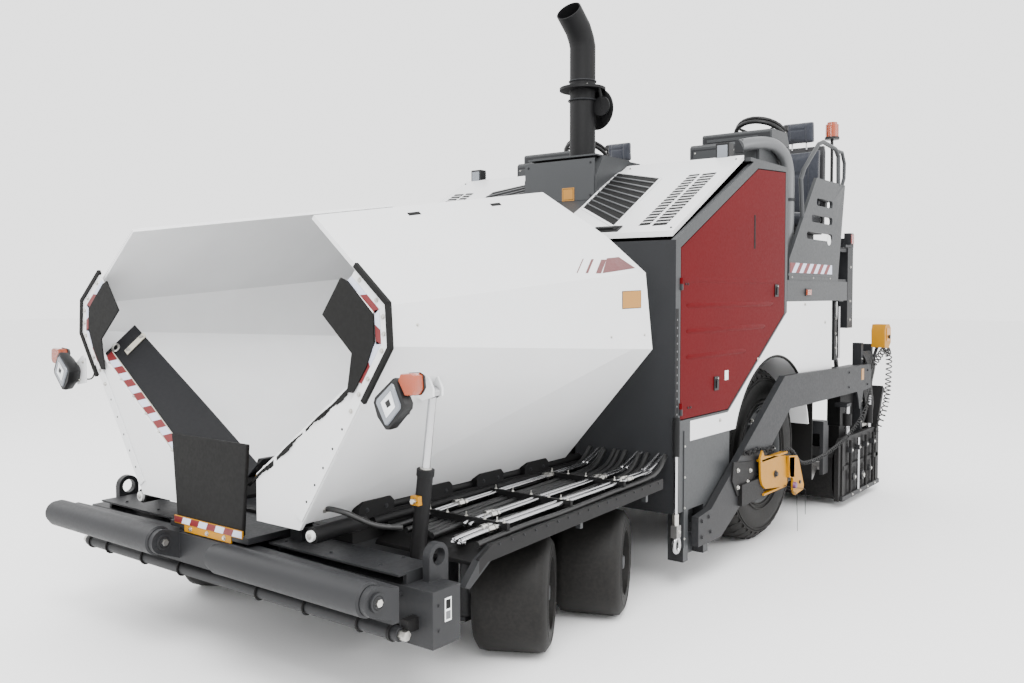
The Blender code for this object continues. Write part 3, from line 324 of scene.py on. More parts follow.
class Shape:
    """Plain solids gathered in one mesh, each with its own finish. Side -1 mirrors what is added."""

    def __init__(self, side=1):
        self.work = bmesh.new()
        self.finishes = []
        self.side = side

    def frame(self, direction):
        """Two directions square to this one, chosen so that both sides start their rings alike."""
        side, up = frame_of(Vector((self.side * direction.x, direction.y, direction.z)))
        return Vector((self.side * side.x, side.y, side.z)), Vector((self.side * up.x, up.y, up.z))

    def slot(self, finish):
        if finish not in self.finishes:
            self.finishes.append(finish)
        return self.finishes.index(finish)

    def add(self, points, faces, finish):
        made = [self.work.verts.new((self.side * p[0], p[1], p[2])) for p in points]
        number = self.slot(finish)
        for face in faces:
            corner = list(dict.fromkeys(face))
            if len(corner) < 3:
                continue
            new = self.work.faces.new([made[i] for i in corner])
            new.material_index = number
            new.smooth = True
        return made

    def prism(self, outline, low, high, place, finish):
        count = len(outline)
        points = [place(a, b, low) for a, b in outline] + [place(a, b, high) for a, b in outline]
        self.add(points, drum(count), finish)

    def box(self, x0, x1, y0, y1, z0, z1, finish):
        x0, x1 = sorted((x0, x1))
        self.prism([(x0, y0), (x1, y0), (x1, y1), (x0, y1)], z0, z1, lambda a, b, c: (a, b, c), finish)

    def boxes(self, finish, *rows):
        for row in rows:
            self.box(*row, finish)

    def plate_x(self, outline, x0, x1, finish):
        self.prism(outline, x0, x1, lambda a, b, c: (c, a, b), finish)

    def plate_y(self, outline, y0, y1, finish):
        self.prism(outline, y0, y1, lambda a, b, c: (a, c, b), finish)

    def slab(self, corner, along, across, depth, finish):
        """A flat block from one corner, two edge vectors and a thickness vector."""
        corner, along, across, depth = Vector(corner), Vector(along), Vector(across), Vector(depth)
        base = [corner, corner + along, corner + along + across, corner + across]
        points = base + [p + depth for p in base]
        self.add(points, BLOCK_FACES, finish)

    def rod(self, start, end, radius, finish, count=16, tip=None):
        start, end = Vector(start), Vector(end)
        side, up = self.frame(end - start)
        tip = radius if tip is None else tip
        points = []
        for centre, size in ((start, radius), (end, tip)):
            for i in range(count):
                turn = 2 * math.pi * i / count
                points.append(centre + (side * math.cos(turn) + up * math.sin(turn)) * size)
        self.add(points, drum(count), finish)

    def tube(self, route, radius, finish, count=10, closed=False):
        route = [Vector(p) for p in route]
        total = len(route)
        points = []
        up = None
        for i, spot in enumerate(route):
            before = route[i - 1] if (i > 0 or closed) else spot
            after = route[(i + 1) % total] if (i < total - 1 or closed) else spot
            way = (after - before).normalized()
            if up is None:
                side, up = self.frame(way)
            side = up.cross(way).normalized() * self.side
            up = way.cross(side).normalized() * self.side
            for k in range(count):
                turn = 2 * math.pi * k / count
                points.append(spot + (side * math.cos(turn) + up * math.sin(turn)) * radius)
        faces = wrapped(total, count, closed)
        if not closed:
            faces.append(list(range(count)))
            faces.append(list(range((total - 1) * count, total * count)))
        self.add(points, faces, finish)

    def spun(self, profile, axis_point, axis, finish, count=40):
        """A closed outline of (along, radius) pairs spun about an axis."""
        axis_point, axis = Vector(axis_point), Vector(axis).normalized()
        side, up = self.frame(axis)
        points = []
        for along, radius in profile:
            for k in range(count):
                turn = 2 * math.pi * k / count
                around = side * math.cos(turn) + up * math.sin(turn)
                points.append(axis_point + axis * along + around * max(radius, 1e-5))
        self.add(points, wrapped(len(profile), count, True), finish)

    def bolt(self, place, out, size, finish="zinc"):
        """A hex head on a washer, standing on a surface that faces out."""
        place, out = Vector(place), Vector(out).normalized()
        self.rod(place - out * 0.001, place + out * size * 0.18, size * 1.25, finish, 14)
        self.rod(place + out * size * 0.18, place + out * size * 0.85, size * 0.95, finish, 6, size * 0.85)

    def stripes(self, start, end, width, out, period, first="tape_red", second="tape_white", lean=0.5,
                depth=0.0015):
        """Slanted reflective tape along a straight run. width is the vector across the tape."""
        start, end, width, out = Vector(start), Vector(end), Vector(width), Vector(out).normalized()
        run = end - start
        way = run.normalized()
        count = max(2, round(run.length / period))
        step = run.length / count
        slant = way * width.length * lean
        for i in range(count):
            low, high = start + way * step * i, start + way * step * (i + 1)
            corners = [low, high, high + width, low + width]
            if i > 0:
                corners[0] = corners[0] - slant / 2
                corners[3] = corners[3] + slant / 2
            if i < count - 1:
                corners[1] = corners[1] - slant / 2
                corners[2] = corners[2] + slant / 2
            points = corners + [p + out * depth for p in corners]
            self.add(points, BLOCK_FACES, first if i % 2 == 0 else second)

    def make(self, name, body, bevel=0.0, sharp=38.0):
        bmesh.ops.recalc_face_normals(self.work, faces=self.work.faces)
        bmesh.ops.translate(self.work, verts=self.work.verts, vec=(0.0, BACK, 0.0))
        mesh = bpy.data.meshes.new(name)
        self.work.to_mesh(mesh)
        self.work.free()
        for finish in self.finishes:
            mesh.materials.append(MADE[finish])
        piece = bpy.data.objects.new(name, mesh)
        bpy.context.scene.collection.objects.link(piece)
        mesh.set_sharp_from_angle(angle=math.radians(sharp))
        if bevel > 0.0:
            soften(piece, bevel)
        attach(piece, body)
        return piece


def soften(piece, width, segments=2):
    step = piece.modifiers.new("edges", "BEVEL")
    step.width = width
    step.segments = segments
    step.limit_method = "ANGLE"
    step.angle_limit = math.radians(38)
    step.harden_normals = True


def dress(node, finishes, pick=None, bevel=0.004, sharp=32.0):
    """Shows a CAD node as the same solid with merged faces, eased edges and finishes chosen face by face."""
    source = frame["nodes"][node]
    mesh = bpy.data.meshes.new(node + "_shown")
    mesh.from_pydata([v.co for v in source.data.vertices], [],
                     [tuple(p.vertices) for p in source.data.polygons])
    work = bmesh.new()
    work.from_mesh(mesh)
    bmesh.ops.remove_doubles(work, verts=work.verts, dist=0.00005)
    bmesh.ops.dissolve_limit(work, angle_limit=math.radians(0.4), verts=work.verts, edges=work.edges)
    for face in work.faces:
        face.smooth = True
        if pick:
            spot = face.calc_center_median()
            face.material_index = pick(Vector((spot.x, spot.y - BACK, spot.z)), face.normal)
    work.to_mesh(mesh)
    work.free()
    for finish in finishes:
        mesh.materials.append(MADE[finish])
    piece = bpy.data.objects.new(node + "_shown", mesh)
    bpy.context.scene.collection.objects.link(piece)
    mesh.set_sharp_from_angle(angle=math.radians(sharp))
    if bevel > 0.0:
        soften(piece, bevel)
    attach(piece, source["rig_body"])
    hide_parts(node)
    return piece


def circle(count, wide, high=None):
    """Points of a circle, or of an ellipse, as (cosine, sine) pairs to scale."""
    high = wide if high is None else high
    turns = [2 * math.pi * t / count for t in range(count)]
    return [(wide * math.cos(t), high * math.sin(t)) for t in turns]


def smooth_route(points, per=6):
    """Extra points on a soft curve through the given ones."""
    points = [Vector(p) for p in points]
    out = []
    for i in range(len(points) - 1):
        a = points[max(i - 1, 0)]
        b, c = points[i], points[i + 1]
        d = points[min(i + 2, len(points) - 1)]
        for k in range(per):
            t = k / per
            square, cube = 2 * a - 5 * b + 4 * c - d, 3 * b - a - 3 * c + d
            out.append(0.5 * (2 * b + (c - a) * t + square * t * t + cube * t ** 3))
    out.append(points[-1])
    return out


# ---------------------------------------------------------------- hopper
PROFILE = ((0.61, 0.745), (1.14, 1.52), (1.13, 1.68), (0.69, 2.05))


def wing_point(share):
    """A point along the front profile: 0 hinge, 1 knee, 2 shoulder, 3 top edge."""
    i = min(int(share), 2)
    a, b = Vector((PROFILE[i][0], 0, PROFILE[i][1])), Vector((PROFILE[i + 1][0], 0, PROFILE[i + 1][1]))
    return a + (b - a) * (share - i)


def inward(points, by):
    """Points moved towards the hopper's middle, square to the outline, mitred at its corners."""
    out = []
    for i, spot in enumerate(points):
        ways = []
        if i > 0:
            ways.append((points[i] - points[i - 1]).normalized())
        if i < len(points) - 1:
            ways.append((points[i + 1] - points[i]).normalized())
        way = sum(ways, Vector()).normalized()
        normal = Vector((-way.z, 0, way.x))
        grow = 1.0 / max(0.5, way.dot(ways[0]))
        out.append(spot + normal * by * grow)
    return out


def ribbon(shape, line, low, high, y0, y1, finish):
    """A flat band between two offsets of a line in the XZ plane."""
    inner, outer = inward(line, high), inward(line, low)
    for i in range(len(line) - 1):
        corners = [outer[i], outer[i + 1], inner[i + 1], inner[i]]
        shape.plate_y([(p.x, p.z) for p in corners], y0, y1, finish)


def wing_details(name, sign):
    line = [wing_point(s) for s in (0.78, 1.0, 2.0, 2.38)]
    band = Shape(sign)
    ribbon(band, line, -0.004, 0.062, 0.13, 0.1395, "white_paint")
    inner, outer = inward(line, 0.061), inward(line, 0.033)
    for i in range(len(line) - 1):
        start, end = outer[i], outer[i + 1]
        across = (inner[i] - outer[i]) * 0.5 + (inner[i + 1] - outer[i + 1]) * 0.5
        band.stripes((start.x, 0.13, start.z), (end.x, 0.13, end.z),
                     (across.x, 0, across.z), (0, -1, 0), 0.085, lean=0.8)
    low_line = [wing_point(s) for s in (0.02, 0.78)]
    ribbon(band, low_line, 0.0, 0.048, 0.133, 0.1395, "white_paint")
    middle_line = inward([wing_point(s) for s in (0.82, 0.97, 1.3, 1.75, 2.08, 2.3)], 0.016)
    for spot in middle_line:
        band.bolt((spot.x, 0.13, spot.z), (0, -1, 0), 0.0085)
    # Holes along the low band: dark discs of painted shade.
    for share in (0.12, 0.22, 0.32, 0.43, 0.54):
        spot = inward([wing_point(share), wing_point(share + 0.01)], 0.024)[0]
        band.rod((spot.x, 0.1325, spot.z), (spot.x, 0.138, spot.z), 0.0058, "black_print_and_slot_shade", 12)
    for share in (0.64, 0.73):
        spot = inward([wing_point(share), wing_point(share + 0.01)], 0.024)[0]
        band.bolt((spot.x, 0.133, spot.z), (0, -1, 0), 0.0085)
    band.make("wing_band_" + name, "hopper_" + name, 0.0012)

    edge = Shape(sign)
    ribbon(edge, [wing_point(s) for s in (0.72, 1.0, 2.0, 2.4)], -0.026, -0.003, 0.122, 0.1395, "rubber")
    flap = [(0.884, 1.79), (0.772, 1.64), (0.945, 1.488), (0.925, 1.375), (0.915, 1.33), (0.952, 1.33)]
    flap += [(1.03, 1.44), (1.072, 1.535), (1.068, 1.645), (0.925, 1.775)]
    edge.plate_y([(x, z) for x, z in flap], 0.1225, 0.1295, "rubber")
    edge.make("wing_rubber_" + name, "hopper_" + name, 0.0015)

    outside = Shape(sign)
    for y0 in (0.42, 0.83, 1.24, 1.65):
        outside.plate_x([(y0, 0.715), (y0 + 0.22, 0.715), (y0 + 0.22, 0.775), (y0 + 0.2, 0.795),
                         (y0 + 0.03, 0.795), (y0, 0.77)],
                        0.585, 0.664, "black_paint")
        for shift in (0.05, 0.17):
            outside.bolt((0.664, y0 + shift, 0.755), (1, 0, 0), 0.009, "charcoal_paint")
    outside.rod((0.65, 0.165, 0.7), (0.65, 0.46, 0.706), 0.036, "black_paint", 20)
    outside.rod((0.65, 0.15, 0.7), (0.65, 0.166, 0.7), 0.024, "label_white", 18)
    outside.rod((0.65, 0.144, 0.7), (0.65, 0.152, 0.7), 0.013, "zinc", 6)
    outside.make("wing_hinge_" + name, "chassis", 0.003)

    trim = Shape(sign)
    top_out = Vector((0.37, -0.14, 0.44)).normalized()
    across = Vector((0.44, 0.0, -0.37)).normalized()
    run = Vector((-0.09, 1.745, 0.25)).normalized() * 0.085
    # Slots near the top edge: thin dark slabs of painted shade.
    for share in (0.31, 0.68):
        spot = Vector((0.69, 0.155, 2.05)).lerp(Vector((0.6, 1.9, 2.3)), share) + across * 0.05
        corners = [spot, spot + run, spot + run + across * 0.02, spot + across * 0.02]
        points = [c - top_out * 0.002 for c in corners] + [c + top_out * 0.0012 for c in corners]
        trim.add([(q.x, q.y, q.z) for q in points],
                 BLOCK_FACES, "black_print_and_slot_shade")
    if sign > 0:
        source = frame["nodes"]["hopper_wing_left"].data
        tree = BVHTree.FromPolygons([v.co for v in source.vertices],
                                    [tuple(f.vertices) for f in source.polygons])

        def on_side(y, z, lift):
            spot, normal, _, _ = tree.ray_cast(Vector((3.0, y + BACK, z)), Vector((-1, 0, 0)))
            return Vector((spot.x, spot.y - BACK, spot.z)) + normal * lift

        def patch(corners, finish, lift=0.0012, cells=(10, 2)):
            corners = [Vector((y, z)) for y, z in corners]
            points, faces = [], []
            for j in range(cells[1] + 1):
                for i in range(cells[0] + 1):
                    low = corners[0].lerp(corners[1], i / cells[0])
                    high = corners[3].lerp(corners[2], i / cells[0])
                    spot = low.lerp(high, j / cells[1])
                    points.append(on_side(spot.x, spot.y, lift))
            for j in range(cells[1]):
                for i in range(cells[0]):
                    a = j * (cells[0] + 1) + i
                    faces.append([a, a + 1, a + cells[0] + 2, a + cells[0] + 1])
            trim.add(points, faces, finish)
        for start, wide in ((1.49, 0.01), (1.56, 0.022), (1.642, 0.045)):
            patch([(start, 1.828), (start + wide, 1.829), (start + wide + 0.165, 1.906),
                   (start + 0.165, 1.905)], "decal_red", cells=(2, 4))
        patch([(1.7, 1.83), (2.045, 1.864), (2.0, 1.925), (1.868, 1.914)], "decal_red", cells=(12, 4))
        patch([(1.827, 1.643), (2.019, 1.647), (2.036, 1.743), (1.843, 1.738)], "black_print_and_slot_shade", 0.0012, (4, 4))
        patch([(1.831, 1.646), (2.015, 1.65), (2.032, 1.74), (1.847, 1.735)], "decal_yellow", 0.002, (4, 4))
        for y, z in ((0.3, 1.6), (1.7, 1.5), (2.03, 1.5)):
            spot = on_side(y, z, 0.0)
            trim.bolt(spot, (1, 0, 0.1), 0.006, "zinc")
    trim.make("wing_trim_" + name, "hopper_" + name)


APRON_LOW_OUT = Vector((0.985, 0.158, 1.405))
APRON_LOW_IN = Vector((0.225, 0.158, 0.865))
APRON_LEAN = Vector((0.03, 0.195, 0.15))


def apron_sheet(name, sign):
    """The rubber sheet that keeps the mix in at the front corner, running down towards the trough."""
    sheet = Shape(sign)
    low_out, low_in, lean = APRON_LOW_OUT, APRON_LOW_IN, APRON_LEAN
    if sign < 0:
        low_in = low_in + (low_in - low_out) * 0.3
    rows, columns = 5, 28
    across = (low_out - low_in).cross(lean).normalized()
    if across.y < 0:
        across = -across
    points = []
    for layer in (0.0, 0.012):
        for r in range(rows + 1):
            for c in range(columns + 1):
                t, u = c / columns, r / rows
                spot = low_out.lerp(low_in, t) + lean * u * (1.0 + 0.3 * t)
                sag = 0.012 * math.sin(math.pi * t) * u + 0.003 * math.sin(9 * t + 2 * u)
                spot = spot - across * sag * 0.5 + across * layer
                points.append((spot.x, spot.y, spot.z))
    stride = columns + 1
    layer = stride * (rows + 1)
    faces = []
    for r in range(rows):
        for c in range(columns):
            a = r * stride + c
            faces.append([a, a + 1, a + stride + 1, a + stride])
            faces.append([layer + a, layer + a + stride, layer + a + stride + 1, layer + a + 1])
    for c in range(columns):
        faces.append([c, c + 1, layer + c + 1, layer + c])
        a = rows * stride + c
        faces.append([a, layer + a, layer + a + 1, a + 1])
    for r in range(rows):
        a = r * stride
        faces.append([a, layer + a, layer + a + stride, a + stride])
        a = r * stride + columns
        faces.append([a, a + stride, layer + a + stride, layer + a])
    sheet.add(points, faces, "apron_rubber")
    piece = sheet.make("apron_sheet_" + name, "hopper_" + name, 0.0015)
    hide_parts("apron_" + name)


def apron_details(name, sign):
    strip = Shape(sign)
    low_out, low_in = APRON_LOW_OUT, APRON_LOW_IN
    run = low_in - low_out
    lift = APRON_LEAN.normalized() * 0.05
    out = run.cross(lift).normalized()
    if out.y > 0:
        out = -out
    start, end = low_out + run * 0.03, low_out + run * 0.9
    ground, second = ("yellow", "yellow") if sign > 0 else ("cream", "tape_white")
    strip.slab(start + out * 0.001 - lift * 0.3, end - start, lift * 1.3, out * 0.006, ground)
    strip.stripes(start + out * 0.007, end + out * 0.007, lift * 0.9, out,
                  0.055, second=second, lean=0.7)
    for share in (0.06, 0.23, 0.4, 0.57, 0.74, 0.91):
        strip.bolt(start.lerp(end, share) - lift * 0.12 + out * 0.007, out, 0.008)
    if sign > 0:
        for k in range(34):
            share = 0.02 + 0.96 * k / 34
            wide = 0.016 + 0.007 * math.sin(12.9 * k) + 0.005 * math.sin(5.1 * k)
            spot = low_out + run * share
            way = run / 34
            strip.slab(spot - lift * 0.25, way * 1.02, Vector((0, 0, -1)) * wide,
                       (0, -0.012 - 0.004 * math.sin(7 * k), 0), "rubber")
    if sign < 0:
        uphill, inboard = APRON_LEAN.normalized(), run.normalized()
        base = low_out + run * 0.1 + APRON_LEAN * 0.42 + out * 0.01
        strip.slab(base, uphill * 0.15, inboard * 0.034, out * 0.007, "cream")
        for t in (0.02, 0.125):
            strip.bolt(base + uphill * t + inboard * 0.017 + out * 0.008, out, 0.01)
        ring_centre = low_out + run * 0.035 + APRON_LEAN * 0.3 + out * 0.012
        ring = [ring_centre + inboard * a + uphill * b for a, b in circle(16, 0.02)]
        strip.tube(ring, 0.006, "zinc", 8, closed=True)
    strip.make("apron_strip_" + name, "hopper_" + name, 0.001)


def headlight(name, sign):
    """Square driving lamp with its indicator on top, on a bracket outside the wing."""
    lamp = Shape(sign)

    def ring(points, y, grow=1.0):
        cx = sum(p[0] for p in points) / len(points)
        cz = sum(p[1] for p in points) / len(points)
        return [Vector((cx + (x - cx) * grow, y, cz + (z - cz) * grow)) for x, z in points]

    def loft(rings, finish):
        points = [p for one in rings for p in one]
        count = len(rings[0])
        caps = [list(range(count)), list(range((len(rings) - 1) * count, len(rings) * count))]
        lamp.add(points, caps + wrapped(len(rings), count), finish)
    body_line = [(1.205, 1.212), (1.222, 1.214), (1.305, 1.296), (1.308, 1.318), (1.262, 1.402), (1.246, 1.412),
                 (1.148, 1.334), (1.14, 1.312), (1.16, 1.258)]
    loft([ring(body_line, 0.052, 0.97), ring(body_line, 0.064, 1.0), ring(body_line, 0.1, 0.96),
          ring(body_line, 0.13, 0.62)], "plastic_black")
    glass = [(1.208, 1.229), (1.222, 1.232), (1.286, 1.3), (1.287, 1.314), (1.25, 1.388), (1.24, 1.392),
             (1.163, 1.328), (1.158, 1.312)]
    loft([ring(glass, 0.046, 0.94), ring(glass, 0.053, 1.0), ring(glass, 0.06, 1.0)], "lens_clear")
    bowl = [(1.215, 1.256), (1.266, 1.304), (1.24, 1.366), (1.184, 1.316)]
    loft([ring(bowl, 0.0452, 0.9), ring(bowl, 0.0475, 1.0), ring(bowl, 0.054, 1.0)], "reflector")
    facet = [(1.222, 1.296), (1.244, 1.31), (1.232, 1.334), (1.208, 1.318)]
    loft([ring(facet, 0.044, 0.8), ring(facet, 0.0456, 1.0), ring(facet, 0.05, 1.0)], "plastic_black")
    blink = [(1.262, 1.402), (1.274, 1.428), (1.33, 1.432), (1.346, 1.424), (1.35, 1.372), (1.336, 1.35),
             (1.298, 1.345)]
    loft([ring(blink, 0.06, 0.93), ring(blink, 0.072, 1.0), ring(blink, 0.108, 0.97), ring(blink, 0.118, 0.8)],
         "lens_amber")
    loft([ring(blink, 0.11, 1.04), ring(blink, 0.128, 0.85)], "plastic_black")
    plate = [(1.125, 1.25), (1.215, 1.235), (1.222, 1.355), (1.16, 1.395), (1.13, 1.38)]
    lamp.plate_y([(x, z) for x, z in plate], 0.132, 0.14, "white_paint")
    lamp.rod((1.205, 0.12, 1.32), (1.205, 0.136, 1.32), 0.022, "plastic_black", 14)
    lamp.bolt((1.19, 0.132, 1.262), (0, -1, 0), 0.009)
    lamp.bolt((1.15, 0.132, 1.36), (0, -1, 0), 0.007)
    route = [(1.235, 0.125, 1.3), (1.215, 0.17, 1.265), (1.165, 0.19, 1.27), (1.12, 0.186, 1.33)]
    lamp.tube(smooth_route(route, 6), 0.0045, "hose_black", 8)
    lamp.make("headlight_" + name, "hopper_" + name, 0.0012)


def hopper():
    for name, sign in SIDES:
        def pick(spot, normal, sign=sign):
            if math.hypot(abs(spot.x) - 0.61, spot.z - 0.74) < 0.036 and 0.4 < spot.y < 2.3:
                return 2
            # Inward faces get the inner finish, which is painted lighter to lift their shade.
            return 1 if normal.x * sign < -0.15 and abs(normal.y) < 0.6 else 0
        dress("hopper_wing_" + name, ("white_paint", "hopper_inner_painted_bright", "black_paint"), pick, bevel=0.002)
        apron_sheet(name, sign)
        wing_details(name, sign)
        apron_details(name, sign)
        headlight(name, sign)
        dress("wing_barrel_" + name, ("black_paint",), bevel=0.002)
        dress("wing_rod_" + name, ("steel",), bevel=0.0)
        barrel = Shape(sign)
        base, eye = Vector((0.95, 0.475, 0.46)), Vector((1.06, 0.475, 1.31))
        way = (eye - base).normalized()
        barrel.rod(base + way * 0.495, base + way * 0.525, 0.0385, "black_paint", 24)
        barrel.rod(base + way * 0.525, base + way * 0.531, 0.026, "zinc", 20)
        barrel.rod(base + way * 0.1, base + way * 0.125, 0.0365, "black_paint", 24)
        barrel.box(0.975, 1.02, 0.425, 0.45, 0.83, 0.87, "yellow")
        barrel.rod((1.0, 0.436, 0.85), (1.0, 0.405, 0.85), 0.012, "zinc", 6)
        barrel.make("wing_barrel_rings_" + name, "wing_cylinder_" + name, 0.001)
    dress("front_flap", ("rubber",), bevel=0.006)
    bar = Shape()
    bar.boxes("yellow",
              (-0.262, 0.262, 0.097, 0.1045, 0.636, 0.672),
              (-0.18, 0.18, 0.097, 0.1045, 0.604, 0.636))
    bar.stripes((-0.259, 0.0968, 0.64), (0.259, 0.0968, 0.64), (0, 0, 0.03), (0, -1, 0), 0.064)
    for x in (-0.13, 0.0, 0.13):
        bar.bolt((x, 0.0965, 0.622), (0, -1, 0), 0.009, "zinc")
    bar.make("front_flap_bar", "chassis", 0.0012)
    dress("hopper_trough", ("black_paint",), bevel=0.003)


# ---------------------------------------------------------------- front beam and rollers
def front():
    for name, sign in SIDES:
        dress("push_roller_" + name, ("charcoal_paint",), bevel=0.0)
        ends = Shape(sign)
        for x, way in ((1.2045, 1), (0.2025, -1)):
            ends.rod((x, 0, ROLLER_Z), (x + way * 0.012, 0, ROLLER_Z), 0.036, "charcoal_paint", 24)
            ends.rod((x + way * 0.012, 0, ROLLER_Z), (x + way * 0.022, 0, ROLLER_Z), 0.016, "zinc", 6)
            ends.tube([(x + way * 0.01, a, ROLLER_Z + b) for a, b in circle(20, 0.026)],
                      0.003, "black_print_and_slot_shade", 6, closed=True)
        ends.make("roller_ends_" + name, "roller_beam", 0.001)
    dress("roller_carrier", ("charcoal_paint",), bevel=0.004)
    dress("front_beam", ("charcoal_paint",), bevel=0.004)
    kit = Shape()
    for x in (-0.95, -0.62, -0.3, 0.3, 0.62, 0.95):
        kit.tube([(x, BAR_Y + a, BAR_Z + b) for a, b in circle(16, 0.034)],
                 0.006, "black_paint", 6, closed=True)
        kit.box(x - 0.018, x + 0.018, 0.185, 0.236, 0.385, 0.43, "black_paint")
    for kit.side in (1, -1):
        kit.rod((1.168, BAR_Y, BAR_Z), (1.205, BAR_Y, BAR_Z), 0.021, "zinc", 6)
        kit.rod((1.12, BAR_Y, BAR_Z), (1.135, BAR_Y, BAR_Z), 0.037, "black_paint", 20)
        kit.box(1.16, 1.2, 0.175, 0.236, 0.4, 0.45, "black_paint")
        kit.bolt((1.1, 0.2345, 0.52), (0, -1, 0), 0.011, "charcoal_paint")
        for z in (0.4, 0.5):
            kit.bolt((1.2755, 0.27, z), (1, 0, 0), 0.006, "charcoal_paint")
        deck = [(0.31, 0.205), (1.12, 0.205), (1.12, 0.415), (0.31, 0.415)]
        kit.prism([(a, b) for a, b in deck], 0.6, 0.609, lambda a, b, c: (a, b, c), "charcoal_paint")
        for x in (0.36, 0.66, 0.96):
            for y in (0.26, 0.395):
                kit.bolt((x, y, 0.609), (0, 0, 1), 0.008, "charcoal_paint")
        kit.boxes("charcoal_paint",
                  (0.31, 0.33, 0.25, 0.4, 0.56, 0.6),
                  (1.1, 1.12, 0.25, 0.4, 0.56, 0.6),
                  (0.34, 0.42, 0.3, 0.4, 0.61, 0.665))
        kit.rod((0.38, 0.31, 0.69), (0.38, 0.39, 0.69), 0.026, "black_paint", 16)
    kit.side = 1
    kit.box(1.2748, 1.276, 0.305, 0.345, 0.425, 0.52, "label_white")
    kit.box(1.2752, 1.2763, 0.311, 0.339, 0.475, 0.512, "black_print_and_slot_shade")
    kit.box(1.2752, 1.2763, 0.311, 0.339, 0.433, 0.466, "light_grey")
    kit.make("beam_fittings", "chassis", 0.0015)


# ---------------------------------------------------------------- running gear
def front_wheels():
    for name, sign in SIDES:
        for end, y, angle in FRONT_AXLES:
            node = "front_wheel_%s_%s" % (end, name)
            dress(node, ("tyre_rubber",), bevel=0.0, sharp=50)
            dress("knuckle_%s_%s" % (end, name), ("charcoal_paint",), bevel=0.002)
            turn = math.radians(angle)
            axle = Vector((math.cos(turn), math.sin(turn), 0.0)) * sign
            pin = Vector((sign * KINGPIN_X, y, FRONT_R))
            face = FRONT_FACE_X - KINGPIN_X
            hub = Shape()
            hub.spun([(face - 0.072, 0.0), (face - 0.072, 0.155), (face - 0.055, 0.163), (face - 0.05, 0.158),
                      (face - 0.06, 0.145),
                      (face - 0.066, 0.095), (face - 0.03, 0.068), (face - 0.026,
                                                                    0.0)], pin, axle, "charcoal_paint", 40)
            hub.spun([(face - 0.027, 0.0), (face - 0.027, 0.04), (face - 0.012, 0.034), (face - 0.01, 0.0)],
                     pin, axle, "grey_paint", 28)
            side, up = frame_of(axle)
            for k in range(8):
                t = 2 * math.pi * k / 8
                hub.bolt(pin + axle * (face - 0.064) + (side * math.cos(t) + up * math.sin(t)) * 0.12, axle,
                         0.011)
            rim = [(face - 0.004, 0.17), (face - 0.001, 0.176), (face - 0.001, 0.183), (face - 0.005, 0.186)]
            hub.spun(rim, pin, axle, "tyre_rubber", 48)
            hub.spun([(face - 0.003, 0.222), (face + 0.0008, 0.226), (face + 0.0008, 0.23),
                      (face - 0.004, 0.234)], pin, axle, "tyre_rubber", 48)
            hub.make("front_hub_%s_%s" % (end, name), "wheel_%s_%s" % (end, name), 0.0015)
    dress("front_axle", ("charcoal_paint",), bevel=0.004)


